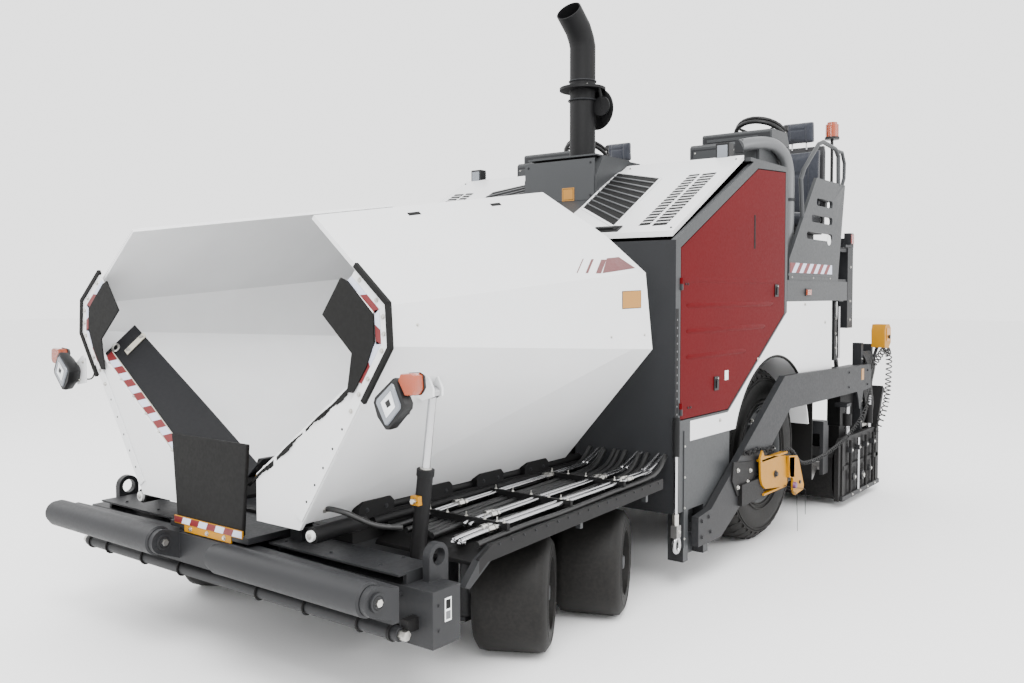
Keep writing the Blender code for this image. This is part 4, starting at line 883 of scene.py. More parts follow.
def rear_wheels():
    for name, sign in SIDES:
        def pick(spot, normal, sign=sign):
            radius = math.hypot(spot.y - REAR_Y, spot.z - REAR_R)
            return 1 if radius < 0.328 else 0
        dress("rear_wheel_" + name, ("tyre_rubber", "grey_paint"), pick, bevel=0.0, sharp=40)
        axis = Vector((sign, 0, 0))
        centre = Vector((0, REAR_Y, REAR_R))
        outer, inner = 1.15, 0.79
        tyre = Shape()
        lugs = 44
        for k in range(lugs):
            t = 2 * math.pi * k / lugs
            for edge, way, shift in ((outer, -1, 0.0), (inner, 1, 0.5)):
                a = t + shift * 2 * math.pi / lugs
                wide = 0.03
                points = []
                for along, radius, skew in ((0.016, REAR_R - 0.06, 0.0), (0.075, REAR_R - 0.001, 0.0),
                                            (0.15, REAR_R + 0.0, 0.05)):
                    for d in (-wide / 2, wide / 2):
                        for lift in (-0.012, 0.0075 if radius < REAR_R - 0.02 else 0.0):
                            r = radius + lift
                            b = a + (d / REAR_R) + skew
                            x = sign * (edge + way * along)
                            points.append((x, REAR_Y + r * math.cos(b), REAR_R + r * math.sin(b)))
                faces = []
                for s in range(2):
                    o = s * 4
                    for u, v in ((0, 1), (1, 3), (3, 2), (2, 0)):
                        faces.append([o + u, o + v, o + 4 + v, o + 4 + u])
                faces += [[0, 1, 3, 2], [8, 10, 11, 9]]
                tyre.add(points, faces, "tyre_rubber")
        for radius, x in ((0.352, 0.022), (0.38, 0.012), (0.52, 0.01), (0.535, 0.014)):
            tyre.spun([(outer - x - 0.003, radius - 0.006), (outer - x + 0.002, radius - 0.003),
                       (outer - x + 0.002, radius + 0.003),
                       (outer - x - 0.003, radius + 0.006)], centre, axis, "tyre_rubber", 64)
        tyre.make("rear_tread_" + name, "drive_wheel_" + name)
        rim = Shape()
        rim.spun([(outer - 0.06, 0.305), (outer - 0.03, 0.322), (outer - 0.026, 0.33), (outer - 0.034, 0.332),
                  (outer - 0.062, 0.315)],
                 centre, axis, "grey_paint", 56)
        for k in range(10):
            t = 2 * math.pi * k / 10
            spot = centre + Vector((sign * (outer - 0.128), 0.225 * math.cos(t), 0.225 * math.sin(t)))
            rim.bolt(spot, axis, 0.015)
            # Between the bolts, holes in the rim: dark discs of painted shade.
            t += math.pi / 10
            spot = centre + Vector((sign * (outer - 0.134), 0.262 * math.cos(t), 0.262 * math.sin(t)))
            rim.rod(spot - axis * 0.004, spot + axis * 0.003, 0.016, "black_print_and_slot_shade", 16)
        rim.spun([(outer - 0.056, 0.0), (outer - 0.056, 0.11), (outer - 0.045, 0.104), (outer - 0.03, 0.07),
                  (outer - 0.028, 0.0)],
                 centre, axis, "charcoal_paint", 40)
        for k in range(6):
            t = 2 * math.pi * k / 6
            rim.bolt(centre + Vector((sign * (outer - 0.046), 0.088 * math.cos(t), 0.088 * math.sin(t))), axis,
                     0.008)
        rim.rod(centre + Vector((sign * (outer - 0.062), 0.3, 0)),
                centre + Vector((sign * (outer - 0.04), 0.285, 0)), 0.004, "zinc", 8)
        rim.make("rear_rim_" + name, "drive_wheel_" + name, 0.0015)
        dress("final_drive_" + name, ("charcoal_paint",), bevel=0.003)


def trays():
    """The plates over the front wheels, with hydraulic pipes, hoses and their clamps."""
    for name, sign in SIDES:
        dress("fender_tray_" + name, ("black_paint",), bevel=0.003)
        tray = Shape(sign)

        def height(y):
            return 0.64 + (y - 0.655) * 0.0253
        lanes = (("steel", 1.155, 0.011), ("steel", 1.118, 0.011), ("steel", 1.01, 0.009),
                 ("steel", 0.978, 0.009),
                 ("steel", 0.742, 0.008), ("steel", 0.716, 0.008))
        for finish, x, radius in lanes:
            lead = 0.56 if x > 1.1 else 0.78
            route = [(x, lead, height(lead) + 0.03), (x, lead + 0.12, height(lead) + 0.05)]
            route += [(x, 2.02, height(2.02) + 0.05), (x, 2.16, height(2.16) + 0.06), (x, 2.325, 0.8)]
            tray.tube(smooth_route(route, 8), radius, finish, 12)
        for x, low, high, radius in ((1.195, 0.6, 2.3, 0.014), (1.08, 0.6, 2.3, 0.015),
                                     (1.048, 0.62, 2.26, 0.013),
                                     (0.935, 0.6, 2.3, 0.015), (0.9, 0.62, 2.28, 0.012), (0.862, 0.6, 2.3,
                                                                                          0.014),
                                     (0.815, 0.62, 2.26, 0.012), (0.78, 0.6, 2.3, 0.013), (0.688, 0.6, 2.3,
                                                                                           0.014)):
            wander = 0.012 * math.sin(40 * x)
            route = [(x, low, height(low) + 0.018), (x + wander, low + 0.35, height(low + 0.35) + 0.022)]
            route += [(x - wander, 1.2, height(1.2) + 0.024), (x + wander, 1.7, height(1.7) + 0.024)]
            route += [(x, high - 0.18, height(high) + 0.035), (x - 0.02, high, 0.8)]
            tray.tube(smooth_route(route, 7), radius, "hose_black", 10)
        for x, y in ((1.155, 0.72), (1.118, 0.72), (1.01, 0.92), (0.978, 0.92), (1.155, 1.9), (1.118, 1.9),
                     (1.01, 1.86),
                     (0.978, 1.86), (0.742, 1.0), (0.716, 1.0), (0.742, 1.75), (0.716, 1.75)):
            z = height(y) + 0.05
            tray.rod((x, y, z), (x, y + 0.035, z), 0.017, "zinc", 6)
            tray.rod((x, y + 0.045, z), (x, y + 0.06, z), 0.015, "zinc", 6)
        for y in (0.8, 1.3, 1.8):
            z = height(y)
            tray.box(0.7, 1.2, y + 0.002, y + 0.022, z + 0.036, z + 0.064, "black_paint")
            for x in (0.73, 0.84, 0.955, 1.064, 1.136, 1.176):
                tray.bolt((x, y + 0.012, z + 0.064), (0, 0, 1), 0.007)
                tray.rod((x, y + 0.012, z + 0.064), (x, y + 0.012, z + 0.085), 0.0035, "zinc", 8)
        for k in range(17):
            y = 0.7 + 0.088 * k
            tray.bolt((1.2405, y, height(y) + 0.006), (1, 0, 0), 0.005, "charcoal_paint")
        tray.box(0.655, 0.665, 0.6, 2.28, 0.66, 0.735, "black_paint")
        tray.rod((0.668, 0.5, 0.7), (0.668, 2.2, 0.712), 0.02, "black_paint", 14)
        for y in (1.34, 1.98):
            tray.box(1.205, 1.232, y, y + 0.022, height(y) - 0.075, height(y) - 0.01, "grey_paint")
        front = [(0.47, 0.515), (0.5, 0.5), (0.66, 0.6), (0.66, 0.655), (0.56, 0.605)]
        tray.plate_x(front, 1.205, 1.2395, "charcoal_paint")
        tray.make("tray_pipes_" + name, "chassis", 0.0)
    hose = Shape()
    for hose.side in (1, -1):
        route = [(0.655, 0.24, 0.8), (0.69, 0.238, 0.806), (0.76, 0.26, 0.795), (0.86, 0.33, 0.745),
                 (0.955, 0.4, 0.735)]
        hose.tube(smooth_route(route, 8), 0.012, "hose_black", 12)
        hose.rod((0.635, 0.24, 0.797), (0.665, 0.24, 0.802), 0.016, "zinc", 6)
    hose.make("wing_hoses", "chassis", 0.0)


# ---------------------------------------------------------------- body, hoods, doors and rear fenders
HOOD_FRONT, HOOD_BACK = 2.365, 3.335


def hood_z(y):
    return 2.085 + (y - HOOD_FRONT) * (0.54 / 0.97)


HOOD_OUT = Vector((0, -0.54, 0.97)).normalized()
DOOR_X = BODY_SIDE
ARCH_R = 0.692


def on_hood(shape, corners, low, high, finish):
    """A flat piece on the sloping hood: corners as (x, y), heights above the sheet."""
    points = []
    for lift in (low, high):
        for x, y in corners:
            spot = Vector((x, y, hood_z(y))) + HOOD_OUT * lift
            points.append(spot)
    count = len(corners)
    faces = [list(range(count)), list(range(count, 2 * count))]
    for i in range(count):
        j = (i + 1) % count
        faces.append([i, j, count + j, count + i])
    shape.add(points, faces, finish)


def body():
    dress("chassis_frame", ("charcoal_paint",), bevel=0.003)
    dress("body_shell", ("grey_paint", "charcoal_paint"), lambda spot,
          normal: 1 if spot.z < 1.9 and normal.y < -0.5 else 0, bevel=0.004)
    dress("engine_block", ("grey_paint",), bevel=0.004)
    for name, sign in SIDES:
        dress("hood_" + name, ("white_paint",), bevel=0.004)
        lid = Shape(sign)
        grille = [(0.336, 2.72), (0.737, 2.451), (0.705, 3.075), (0.3, 3.215)]
        # The grille opening is a dark sheet of painted shade under the slats.
        on_hood(lid, grille, 0.0005, 0.003, "black_print_and_slot_shade")
        rows = 9
        for k in range(1, rows):
            t0, t1 = (k - 0.09) / rows, (k + 0.05) / rows
            left0 = Vector(grille[0]).lerp(Vector(grille[3]), t0)
            left1 = Vector(grille[0]).lerp(Vector(grille[3]), t1)
            right0 = Vector(grille[1]).lerp(Vector(grille[2]), t0)
            right1 = Vector(grille[1]).lerp(Vector(grille[2]), t1)
            on_hood(lid, [tuple(left0), tuple(right0), tuple(right1), tuple(left1)], 0.002, 0.01, "light_grey")
        for a, b in ((0, 1), (1, 2), (2, 3), (3, 0)):
            p, q = Vector(grille[a]), Vector(grille[b])
            way = (q - p).normalized()
            off = Vector((way.y, -way.x)) * 0.016
            on_hood(lid, [tuple(p), tuple(q), tuple(q + off), tuple(p + off)], 0.0005, 0.007, "white_paint")
        for x0, x1, y0, y1, count in ((0.912, 0.984, 2.44, 3.1, 18), (1.008, 1.1, 2.43, 3.1, 18)):
            pitch = (y1 - y0) / count
            for k in range(count):
                y = y0 + pitch * k
                slot = [(x0, y), (x1, y + 0.006), (x1, y + 0.006 + pitch * 0.74), (x0, y + pitch * 0.74)]
                # Louvre openings: dark strips of painted shade between the blades.
                on_hood(lid, slot, 0.0003, 0.0018, "black_print_and_slot_shade")
                blade = [(x0 - 0.002, y + pitch * 0.72), (x1 + 0.002, y + pitch * 0.72 + 0.006),
                         (x1 + 0.002, y + pitch * 0.9 + 0.006),
                         (x0 - 0.002, y + pitch * 0.9)]
                on_hood(lid, blade, 0.0005, 0.006, "white_paint")
        on_hood(lid, [(0.617, 2.378), (0.805, 2.378), (0.805, 2.44), (0.617, 2.44)], 0.0005, 0.008,
                "plastic_black")
        # Painted shade in the latch recess.
        on_hood(lid, [(0.632, 2.39), (0.79, 2.39), (0.79, 2.425), (0.632, 2.425)], 0.008, 0.011, "black_print_and_slot_shade")
        on_hood(lid, [(0.655, 2.396), (0.765, 2.396), (0.765, 2.405), (0.655, 2.405)], 0.008, 0.02,
                "plastic_black")
        for x, y in ((0.36, 2.4), (1.15, 2.4), (0.36, 3.28), (1.15, 3.28)):
            spot = Vector((x, y, hood_z(y)))
            lid.bolt(spot, HOOD_OUT, 0.006, "charcoal_paint")
        lid.make("hood_fittings_" + name, "hood_lid_" + name, 0.0012)

        dress("side_door_" + name, ("red_paint",), bevel=0.004)
        door = Shape(sign)
        for z, rear in ((1.655, 3.745), (1.505, 3.615), (1.355, 3.3)):
            y0 = 2.46
            section = [(-0.016, 0.0), (-0.006, 0.005), (0.006, 0.005), (0.016, 0.0)]
            points = []
            for y, shrink in ((y0, 0.0), (y0 + 0.03, 1.0), (rear - 0.05, 1.0), (rear, 0.0)):
                for dz, dx in section:
                    points.append((DOOR_X + dx * shrink, y, z + dz * (0.4 + 0.6 * shrink)))
            faces = []
            for s in range(3):
                for k in range(3):
                    a = s * 4 + k
                    faces.append([a, a + 1, a + 5, a + 4])
            door.add(points, faces, "red_paint")
        crease = [(2.42, 1.8), (3.92, 1.8)]
        points = []
        for y, z in crease:
            points += [(DOOR_X + 0.0002, y, z - 0.01), (DOOR_X + 0.0035, y, z), (DOOR_X + 0.0002, y, z + 0.018)]
        door.add(points, [[0, 1, 4, 3], [1, 2, 5, 4]], "red_paint")
        for y, z in ((2.45, 1.78), (2.49, 1.06)):
            for dy in (0.0, 0.03):
                door.bolt((DOOR_X, y + dy, z), (1, 0, 0), 0.006, "charcoal_paint")
        for y, z in ((3.8, 1.745), (2.86, 1.175)):
            door.box(DOOR_X, DOOR_X + 0.006, y - 0.03, y + 0.03, z - 0.042, z + 0.042, "plastic_black")
            # Painted shade in the handle recess under the grip.
            door.box(DOOR_X + 0.0055, DOOR_X + 0.007, y - 0.02, y + 0.02, z - 0.03, z + 0.028, "black_print_and_slot_shade")
            door.box(DOOR_X + 0.006, DOOR_X + 0.013, y - 0.009, y + 0.009, z - 0.028, z + 0.02, "plastic_black")
            door.rod((DOOR_X + 0.006, y + 0.014, z + 0.03), (DOOR_X + 0.01, y + 0.014, z + 0.03), 0.006, "zinc",
                     14)
        door.box(DOOR_X, DOOR_X + 0.0014, 3.415, 3.437, 2.02, 2.24, "black_print_and_slot_shade")
        if sign > 0:
            door.box(DOOR_X, DOOR_X + 0.0012, 2.985, 3.035, 1.185, 1.245, "label_white")
        door.make("door_fittings_" + name, "door_" + name, 0.0)
        dress("rear_fender_" + name, ("white_paint", "grey_paint"),
              lambda spot, normal: 1 if spot.y < 3.12 and spot.z < 0.865 else 0, bevel=0.003)
        trim = Shape(sign)
        for y, z in ((4.352, 1.645), (4.785, 1.502), (3.497, 1.287), (2.92, 0.941)):
            trim.bolt((BODY_SIDE, y, z), (1, 0, 0), 0.01)
        arch = [(REAR_Y + ARCH_R * math.cos(t), REAR_R + ARCH_R * math.sin(t)) for t in
                [math.radians(a) for a in range(158, 46, -5)]]
        trim.tube([(BODY_SIDE - 0.004, y, z) for y, z in arch], 0.01, "rubber", 8)
        trim.box(BODY_SIDE - 0.03, BODY_SIDE - 0.018, 2.345, 2.375, 0.94, 1.63, "worn_steel")
        # Slots in the strip: dark marks of painted shade.
        for k in range(12):
            z = 0.97 + 0.055 * k
            trim.box(BODY_SIDE - 0.02, BODY_SIDE - 0.0165, 2.348, 2.372 if k % 3 else 2.36, z, z + 0.006,
                     "black_print_and_slot_shade")
        trim.make("fender_trim_" + name, "chassis", 0.001)
    front = Shape()
    front.box(-0.29, 0.29, 2.922, 2.932, 2.36, 2.64, "grey_paint")
    for x in (-0.26, 0.26):
        for z in (2.39, 2.61):
            front.bolt((x, 2.922, z), (0, -1, 0), 0.007, "charcoal_paint")
    front.box(0.03, 0.13, 2.92, 2.9222, 2.36, 2.45, "decal_yellow")
    front.box(0.037, 0.123, 2.9195, 2.9205, 2.367, 2.443, "black_print_and_slot_shade")
    front.box(0.04, 0.12, 2.919, 2.92, 2.37, 2.44, "decal_yellow")
    front.box(-0.285, 0.285, 2.95, 3.4, 2.661, 2.672, "grey_paint")
    for front.side in (1, -1):
        for k in range(3):
            z = 1.05 + 0.27 * k
            front.box(0.62, 1.1, 2.3375, 2.3465, z, z + 0.2, "charcoal_paint")
            for x in (0.65, 1.07):
                front.bolt((x, 2.3375, z + 0.03), (0, -1, 0), 0.006, "charcoal_paint")
                front.bolt((x, 2.3375, z + 0.17), (0, -1, 0), 0.006, "charcoal_paint")
        front.rod((0.5, 2.33, 0.8), (0.5, 2.33, 1.95), 0.012, "hose_black", 10)
        front.rod((0.54, 2.335, 0.8), (0.54, 2.335, 1.9), 0.009, "steel", 10)
    front.make("front_wall_fittings", "chassis", 0.002)
    lamps()
    stack()


def lamps():
    lights = Shape()
    for x, y, z in ((1.03, 3.36, 2.655), (-1.086, 3.36, 2.645)):
        lights.box(x - 0.048, x + 0.048, y - 0.03, y + 0.04, z - 0.062, z + 0.062, "plastic_black")
        lights.box(x - 0.036, x + 0.036, y - 0.034, y - 0.029, z - 0.048, z + 0.048, "lens_clear")
        for k in range(6):
            lights.box(x - 0.044, x + 0.044, y + 0.038, y + 0.05, z - 0.05 + 0.018 * k, z - 0.044 + 0.018 * k,
                       "plastic_black")
        lights.box(x - 0.01, x + 0.01, y - 0.005, y + 0.03, z - 0.1, z - 0.055, "charcoal_paint")
        lights.box(x - 0.035, x + 0.035, y - 0.015, y + 0.06, 2.6, 2.612 if z > 0 else 0, "charcoal_paint")
    lights.make("work_lights", "chassis", 0.002)


def stack():
    dress("exhaust_stack", ("black_paint",), bevel=0.002, sharp=50)
    pipe = Shape()
    for z, r in ((2.66, 0.101), (3.1, 0.1), (3.235, 0.095)):
        pipe.tube([(a, STACK_Y + b, z) for a, b in circle(32, r)], 0.006, "charcoal_paint", 8, closed=True)
    for k in range(6):
        t = 2 * math.pi * k / 6 + 0.3
        pipe.bolt((0.135 * math.cos(t), STACK_Y + 0.135 * math.sin(t), 3.19), (0, 0, 1), 0.008)
    disc = [(-0.01, 0.0), (-0.01, 0.138), (-0.004, 0.148), (0.004, 0.148), (0.01, 0.138), (0.01, 0.0)]
    pipe.spun(disc, (0.045, 3.342, 3.055), (0.12, 1, 0.06), "black_paint", 36)
    pipe.rod((0.02, 3.3, 3.15), (0.03, 3.335, 3.12), 0.014, "charcoal_paint", 12)
    pipe.rod((0.0, 3.29, 3.05), (0.02, 3.338, 3.05), 0.012, "charcoal_paint", 10)
    pipe.rod((0.0, 3.12, 2.66), (0.0, 3.105, 2.66), 0.01, "zinc", 6)
    pipe.make("exhaust_fittings", "chassis", 0.001)


# ---------------------------------------------------------------- operator's platform
def platform():
    def deck_pick(spot, normal):
        return 1 if normal.z > 0.9 and spot.z > DECK_Z - 0.02 and spot.z < DECK_Z + 0.02 else 0
    dress("platform", ("grey_paint", "worn_steel"), deck_pick, bevel=0.003)
    deck = Shape()
    for i in range(20):
        for j in range(11):
            x = -0.45 + 0.09 * j
            y = 4.12 + 0.054 * i
            turn = 1 if (i + j) % 2 else -1
            deck.slab((x - 0.014, y - 0.006 * turn, 1.8262), (0.028, 0.012 * turn, 0),
                      (-0.003 * turn, 0.007, 0), (0, 0, 0.0016), "worn_steel")
    deck.make("deck_tread", "chassis")
    for name, sign in SIDES:
        dress("side_wall_" + name, ("grey_paint",), bevel=0.004)
        wall = Shape(sign)
        skin = 1.2105
        wall.stripes((skin, 4.075, 1.875), (skin, 4.955, 1.875), (0, 0, 0.072), (1, 0, 0), 0.075, lean=1.1)
        wall.box(1.209, 1.2125, 4.04, 4.99, 1.853, 1.868, "grey_paint")
        wall.box(1.21, 1.226, 4.35, 4.45, 1.706, 1.762, "plastic_black")
        wall.box(1.222, 1.238, 4.36, 4.44, 1.714, 1.754, "lens_amber")
        wall.rod((1.2095, 4.88, 2.14), (1.2125, 4.88, 2.14), 0.04, "label_white", 28)
        for y in (4.12, 4.55, 4.92):
            wall.bolt((1.2095, y, 1.842), (1, 0, 0), 0.006)
        wall.make("side_wall_trim_" + name, "chassis", 0.0008)
        console(name, sign)
        helm(name, sign)
        seat(name, sign)
    beacon()


def console(name, sign):
    dress("console_" + name, ("grey_paint", "dark_panel"),
          lambda spot, normal: 1 if normal.y > 0.3 and spot.z > 2.6 else 0, bevel=0.006)
    desk = Shape(sign)
    desk.box(0.575, 1.085, 3.985, 3.99, 2.822, 2.876, "charcoal_paint")
    desk.box(0.6, 1.0, 3.9815, 3.9862, 2.838, 2.86, "grey_paint")
    desk.box(0.545, 1.055, 3.8445, 3.85, 2.635, 2.775, "charcoal_paint")
    desk.boxes("grey_paint",
               (0.56, 0.84, 3.8415, 3.845, 2.65, 2.762),
               (0.86, 1.045, 3.8415, 3.845, 2.65, 2.762))
    for x in (0.575, 0.825, 0.875, 1.03):
        for z in (2.665, 2.748):
            desk.bolt((x, 3.8415, z), (0, -1, 0), 0.005)
    for x in (0.62, 0.74, 0.86, 0.98):
        desk.rod((x, 4.3, 2.85), (x, 4.322, 2.872), 0.017, "plastic_black", 16)
        desk.rod((x, 4.322, 2.872), (x, 4.326, 2.876), 0.01, "decal_red" if x > 0.9 else "light_grey", 14)
    desk.slab((0.64, 4.345, 2.745), (0.3, 0, 0), (0, 0.0, 0.05), (0, 0.006, 0), "black_print_and_slot_shade")
    for k in range(6):
        desk.rod((0.66 + 0.055 * k, 4.36, 2.812), (0.66 + 0.055 * k, 4.36, 2.83), 0.009, "plastic_black", 12)
    if sign > 0:
        route = [(0.985, 3.7, 2.745), (1.03, 3.8, 2.77), (1.075, 3.95, 2.79), (1.1, 4.08, 2.775),
                 (1.115, 4.19, 2.715),
                 (1.12, 4.245, 2.61), (1.12, 4.255, 2.45), (1.12, 4.25, 2.2), (1.12, 4.24, 1.835)]
        desk.tube(smooth_route(route, 7), 0.046, "light_grey", 20)
        desk.rod((1.12, 4.25, 2.4), (1.12, 4.25, 2.42), 0.051, "charcoal_paint", 20)
        desk.rod((1.12, 4.245, 1.9), (1.12, 4.245, 1.92), 0.051, "charcoal_paint", 20)
        desk.box(0.955, 1.015, 3.69, 3.71, 2.7, 2.79, "charcoal_paint")
    desk.make("console_fittings_" + name, "chassis", 0.0015)


def helm(name, sign):
    dress("steering_wheel_" + name, ("plastic_black",), bevel=0.0015, sharp=50)
    kit = Shape()
    hub, axis = Vector((sign * 0.8, 4.5, 2.93)), Vector((0, 0.5, 0.866))
    side, up = frame_of(axis)
    rim = []
    for k in range(48):
        t = 2 * math.pi * k / 48
        rim.append(hub + (side * math.cos(t) + up * math.sin(t)) * (0.19 + 0.001 * (k % 2)))
    kit.tube(rim, 0.0165, "plastic_black", 12, closed=True)
    kit.rod(hub + axis * 0.01, hub + axis * 0.026, 0.036, "plastic_black", 24, 0.03)
    kit.rod(hub + axis * 0.026, hub + axis * 0.028, 0.024, "charcoal_paint", 20)
    knob = hub + side * 0.19
    kit.rod(knob + axis * 0.008, knob + axis * 0.04, 0.009, "zinc", 12)
    kit.rod(knob + axis * 0.035, knob + axis * 0.078, 0.021, "plastic_black", 20, 0.017)
    kit.make("helm_fittings_" + name, "helm_" + name, 0.001)


def cushion(name, place, half, lean, crown):
    """A padded form: a rounded block, pulled in along its sides, inflated as cloth and laid in place."""
    work = bmesh.new()
    bmesh.ops.create_cube(work, size=2.0)
    bmesh.ops.subdivide_edges(work, edges=work.edges, cuts=9, use_grid_fill=True)
    for v in work.verts:
        a, b, c = v.co
        round_off = 1.0 - 0.11 * (abs(a) ** 6 + abs(b) ** 6) * 0.5
        pull = 1.0 - 0.035 * (1.0 - a * a) * abs(b) ** 4
        side = 1.0 - 0.035 * (1.0 - b * b) * abs(a) ** 4
        top = 1.0 + crown * (1.0 - a * a) * (1.0 - b * b) if c > 0 else 1.0
        v.co = (a * side * half[0] * (1.0 - 0.06 * abs(b * c) ** 3),
                b * pull * half[1] * (1.0 - 0.06 * abs(a * c) ** 3),
                c * half[2] * round_off * top * (1.0 - 0.3 * max(abs(a), abs(b)) ** 10))
    mesh = bpy.data.meshes.new(name)
    work.to_mesh(mesh)
    work.free()
    piece = bpy.data.objects.new(name, mesh)
    bpy.context.scene.collection.objects.link(piece)
    inflate(piece, 0.012)
    for v in piece.data.vertices:
        a, b, c = v.co.x / half[0], v.co.y / half[1], v.co.z / half[2]
        if c > 0.2:
            seam = max(math.exp(-((a - 0.52) / 0.035) ** 2), math.exp(-((a + 0.52) / 0.035) ** 2))
            cross = math.exp(-((b - 0.3) / 0.05) ** 2) if abs(a) < 0.52 else 0.0
            v.co.z -= 0.01 * max(seam, cross)
        v.co.z += 0.0012 * math.sin(31 * a + 5 * b) * math.cos(17 * b)
    turn = Matrix.Rotation(lean, 4, "X")
    piece.data.transform(Matrix.Translation(Vector(place) + Vector((0, BACK, 0))) @ turn)
    for face in piece.data.polygons:
        face.use_smooth = True
    step = piece.modifiers.new("soft", "SUBSURF")
    step.levels = 1
    step.render_levels = 1
    piece.data.materials.append(MADE["seat_cloth"])
    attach(piece, "chassis")
    return piece


def inflate(piece, cap):
    """Cloth pressure on a remeshed copy, with each point's travel capped, then applied."""
    step = piece.modifiers.new("remesh", "REMESH")
    step.mode = "VOXEL"
    step.voxel_size = 0.01
    flatten(piece)
    start = [v.co.copy() for v in piece.data.vertices]
    cloth_step = piece.modifiers.new("cloth", "CLOTH")
    cloth_step.settings.use_pressure = True
    cloth_step.settings.uniform_pressure_force = 4.0
    cloth_step.settings.effector_weights.gravity = 0.0
    cloth_step.point_cache.frame_start = 1
    cloth_step.point_cache.frame_end = 20
    for number in range(1, 21):
        bpy.context.scene.frame_set(number)
    flatten(piece)
    for v, was in zip(piece.data.vertices, start):
        move = v.co - was
        if move.length > cap:
            v.co = was + move.normalized() * cap
    bpy.context.scene.frame_set(1)


def flatten(piece):
    """Applies every modifier on the piece to its mesh."""
    graph = bpy.context.evaluated_depsgraph_get()
    mesh = bpy.data.meshes.new_from_object(piece.evaluated_get(graph))
    piece.modifiers.clear()
    piece.data = mesh


def seat(name, sign):
    x = sign * 0.86
    shell = Shape()
    shell.box(x - 0.14, x + 0.14, 4.76, 5.02, 1.8205, 1.96, "seat_shell")
    for k in range(6):
        shell.box(x - 0.155, x + 0.155, 4.745, 5.035, 1.97 + 0.028 * k, 1.986 + 0.028 * k, "rubber")
    shell.boxes("seat_shell",
                (x - 0.17, x + 0.17, 4.73, 5.05, 2.14, 2.2),
                (x - 0.215, x + 0.215, 4.7, 5.11, 2.2, 2.245))
    back = [(5.13, 2.255), (5.145, 2.24), (5.19, 2.24), (5.2155, 2.3), (5.2155, 2.88), (5.195, 2.925),
            (5.165, 2.925), (5.16, 2.32)]
    shell.plate_x(back, x - 0.2, x + 0.2, "seat_shell")
    for side in (-1, 1):
        shell.rod((x + side * 0.06, 5.16, 2.9), (x + side * 0.06, 5.155, 2.985), 0.007, "steel", 12)
        arm = [(4.8, 2.47), (4.79, 2.49), (4.795, 2.515), (4.82, 2.525), (5.1, 2.525), (5.145, 2.5),
               (5.145, 2.47), (5.1, 2.455)]
        shell.plate_x(arm, x + side * 0.222, x + side * 0.268, "seat_shell")
        shell.plate_x([(5.095, 2.36), (5.16, 2.34), (5.165, 2.49), (5.095, 2.49)], x + side * 0.2205,
                      x + side * 0.238, "seat_shell")
    shell.box(x - 0.235, x - 0.175, 4.72, 4.78, 2.205, 2.222, "zinc")
    base = shell.make("seat_shell_" + name, "chassis", 0.006)
    seat_pad = cushion("seat_cushion_" + name, (x, 4.89, 2.306), (0.222, 0.212, 0.05), math.radians(4), 0.16)
    back_pad = cushion("seat_back_" + name, (x, 5.118, 2.61), (0.2, 0.285, 0.038), math.radians(92), 0.18)
    head_pad = cushion("seat_head_" + name, (x, 5.14, 3.04), (0.128, 0.082, 0.036), math.radians(94), 0.2)
    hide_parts("seat_" + name)
    return seat_pad, back_pad, head_pad


def beacon():
    dress("beacon", ("lens_amber", "lens_red", "plastic_black"),
          lambda spot, normal: (2 if spot.z < 2.992 else (1 if spot.z < 3.035 else 0)), bevel=0.0015, sharp=50)


# ---------------------------------------------------------------- tow arms, screed and walkway
def screed():
    wear = lambda spot, normal: 1 if normal.z < -0.8 and spot.z < 0.03 else 0
    dress("screed_frame", ("black_paint", "worn_steel"), wear, bevel=0.004)
    for name, sign in SIDES:
        dress("tow_arm_" + name, ("charcoal_paint",), bevel=0.004)
        dress("screed_extension_" + name, ("black_paint", "worn_steel"), wear, bevel=0.004)
        dress("lift_barrel_" + name, ("charcoal_paint",), bevel=0.002)
        dress("lift_rod_" + name, ("steel",), bevel=0.0)
        dress("auger_" + name, ("worn_steel",), bevel=0.0)
        arm_fittings(name, sign)
        gate_fittings(name, sign)
        guide_fittings(name, sign)
    rear_fittings()
    cables()


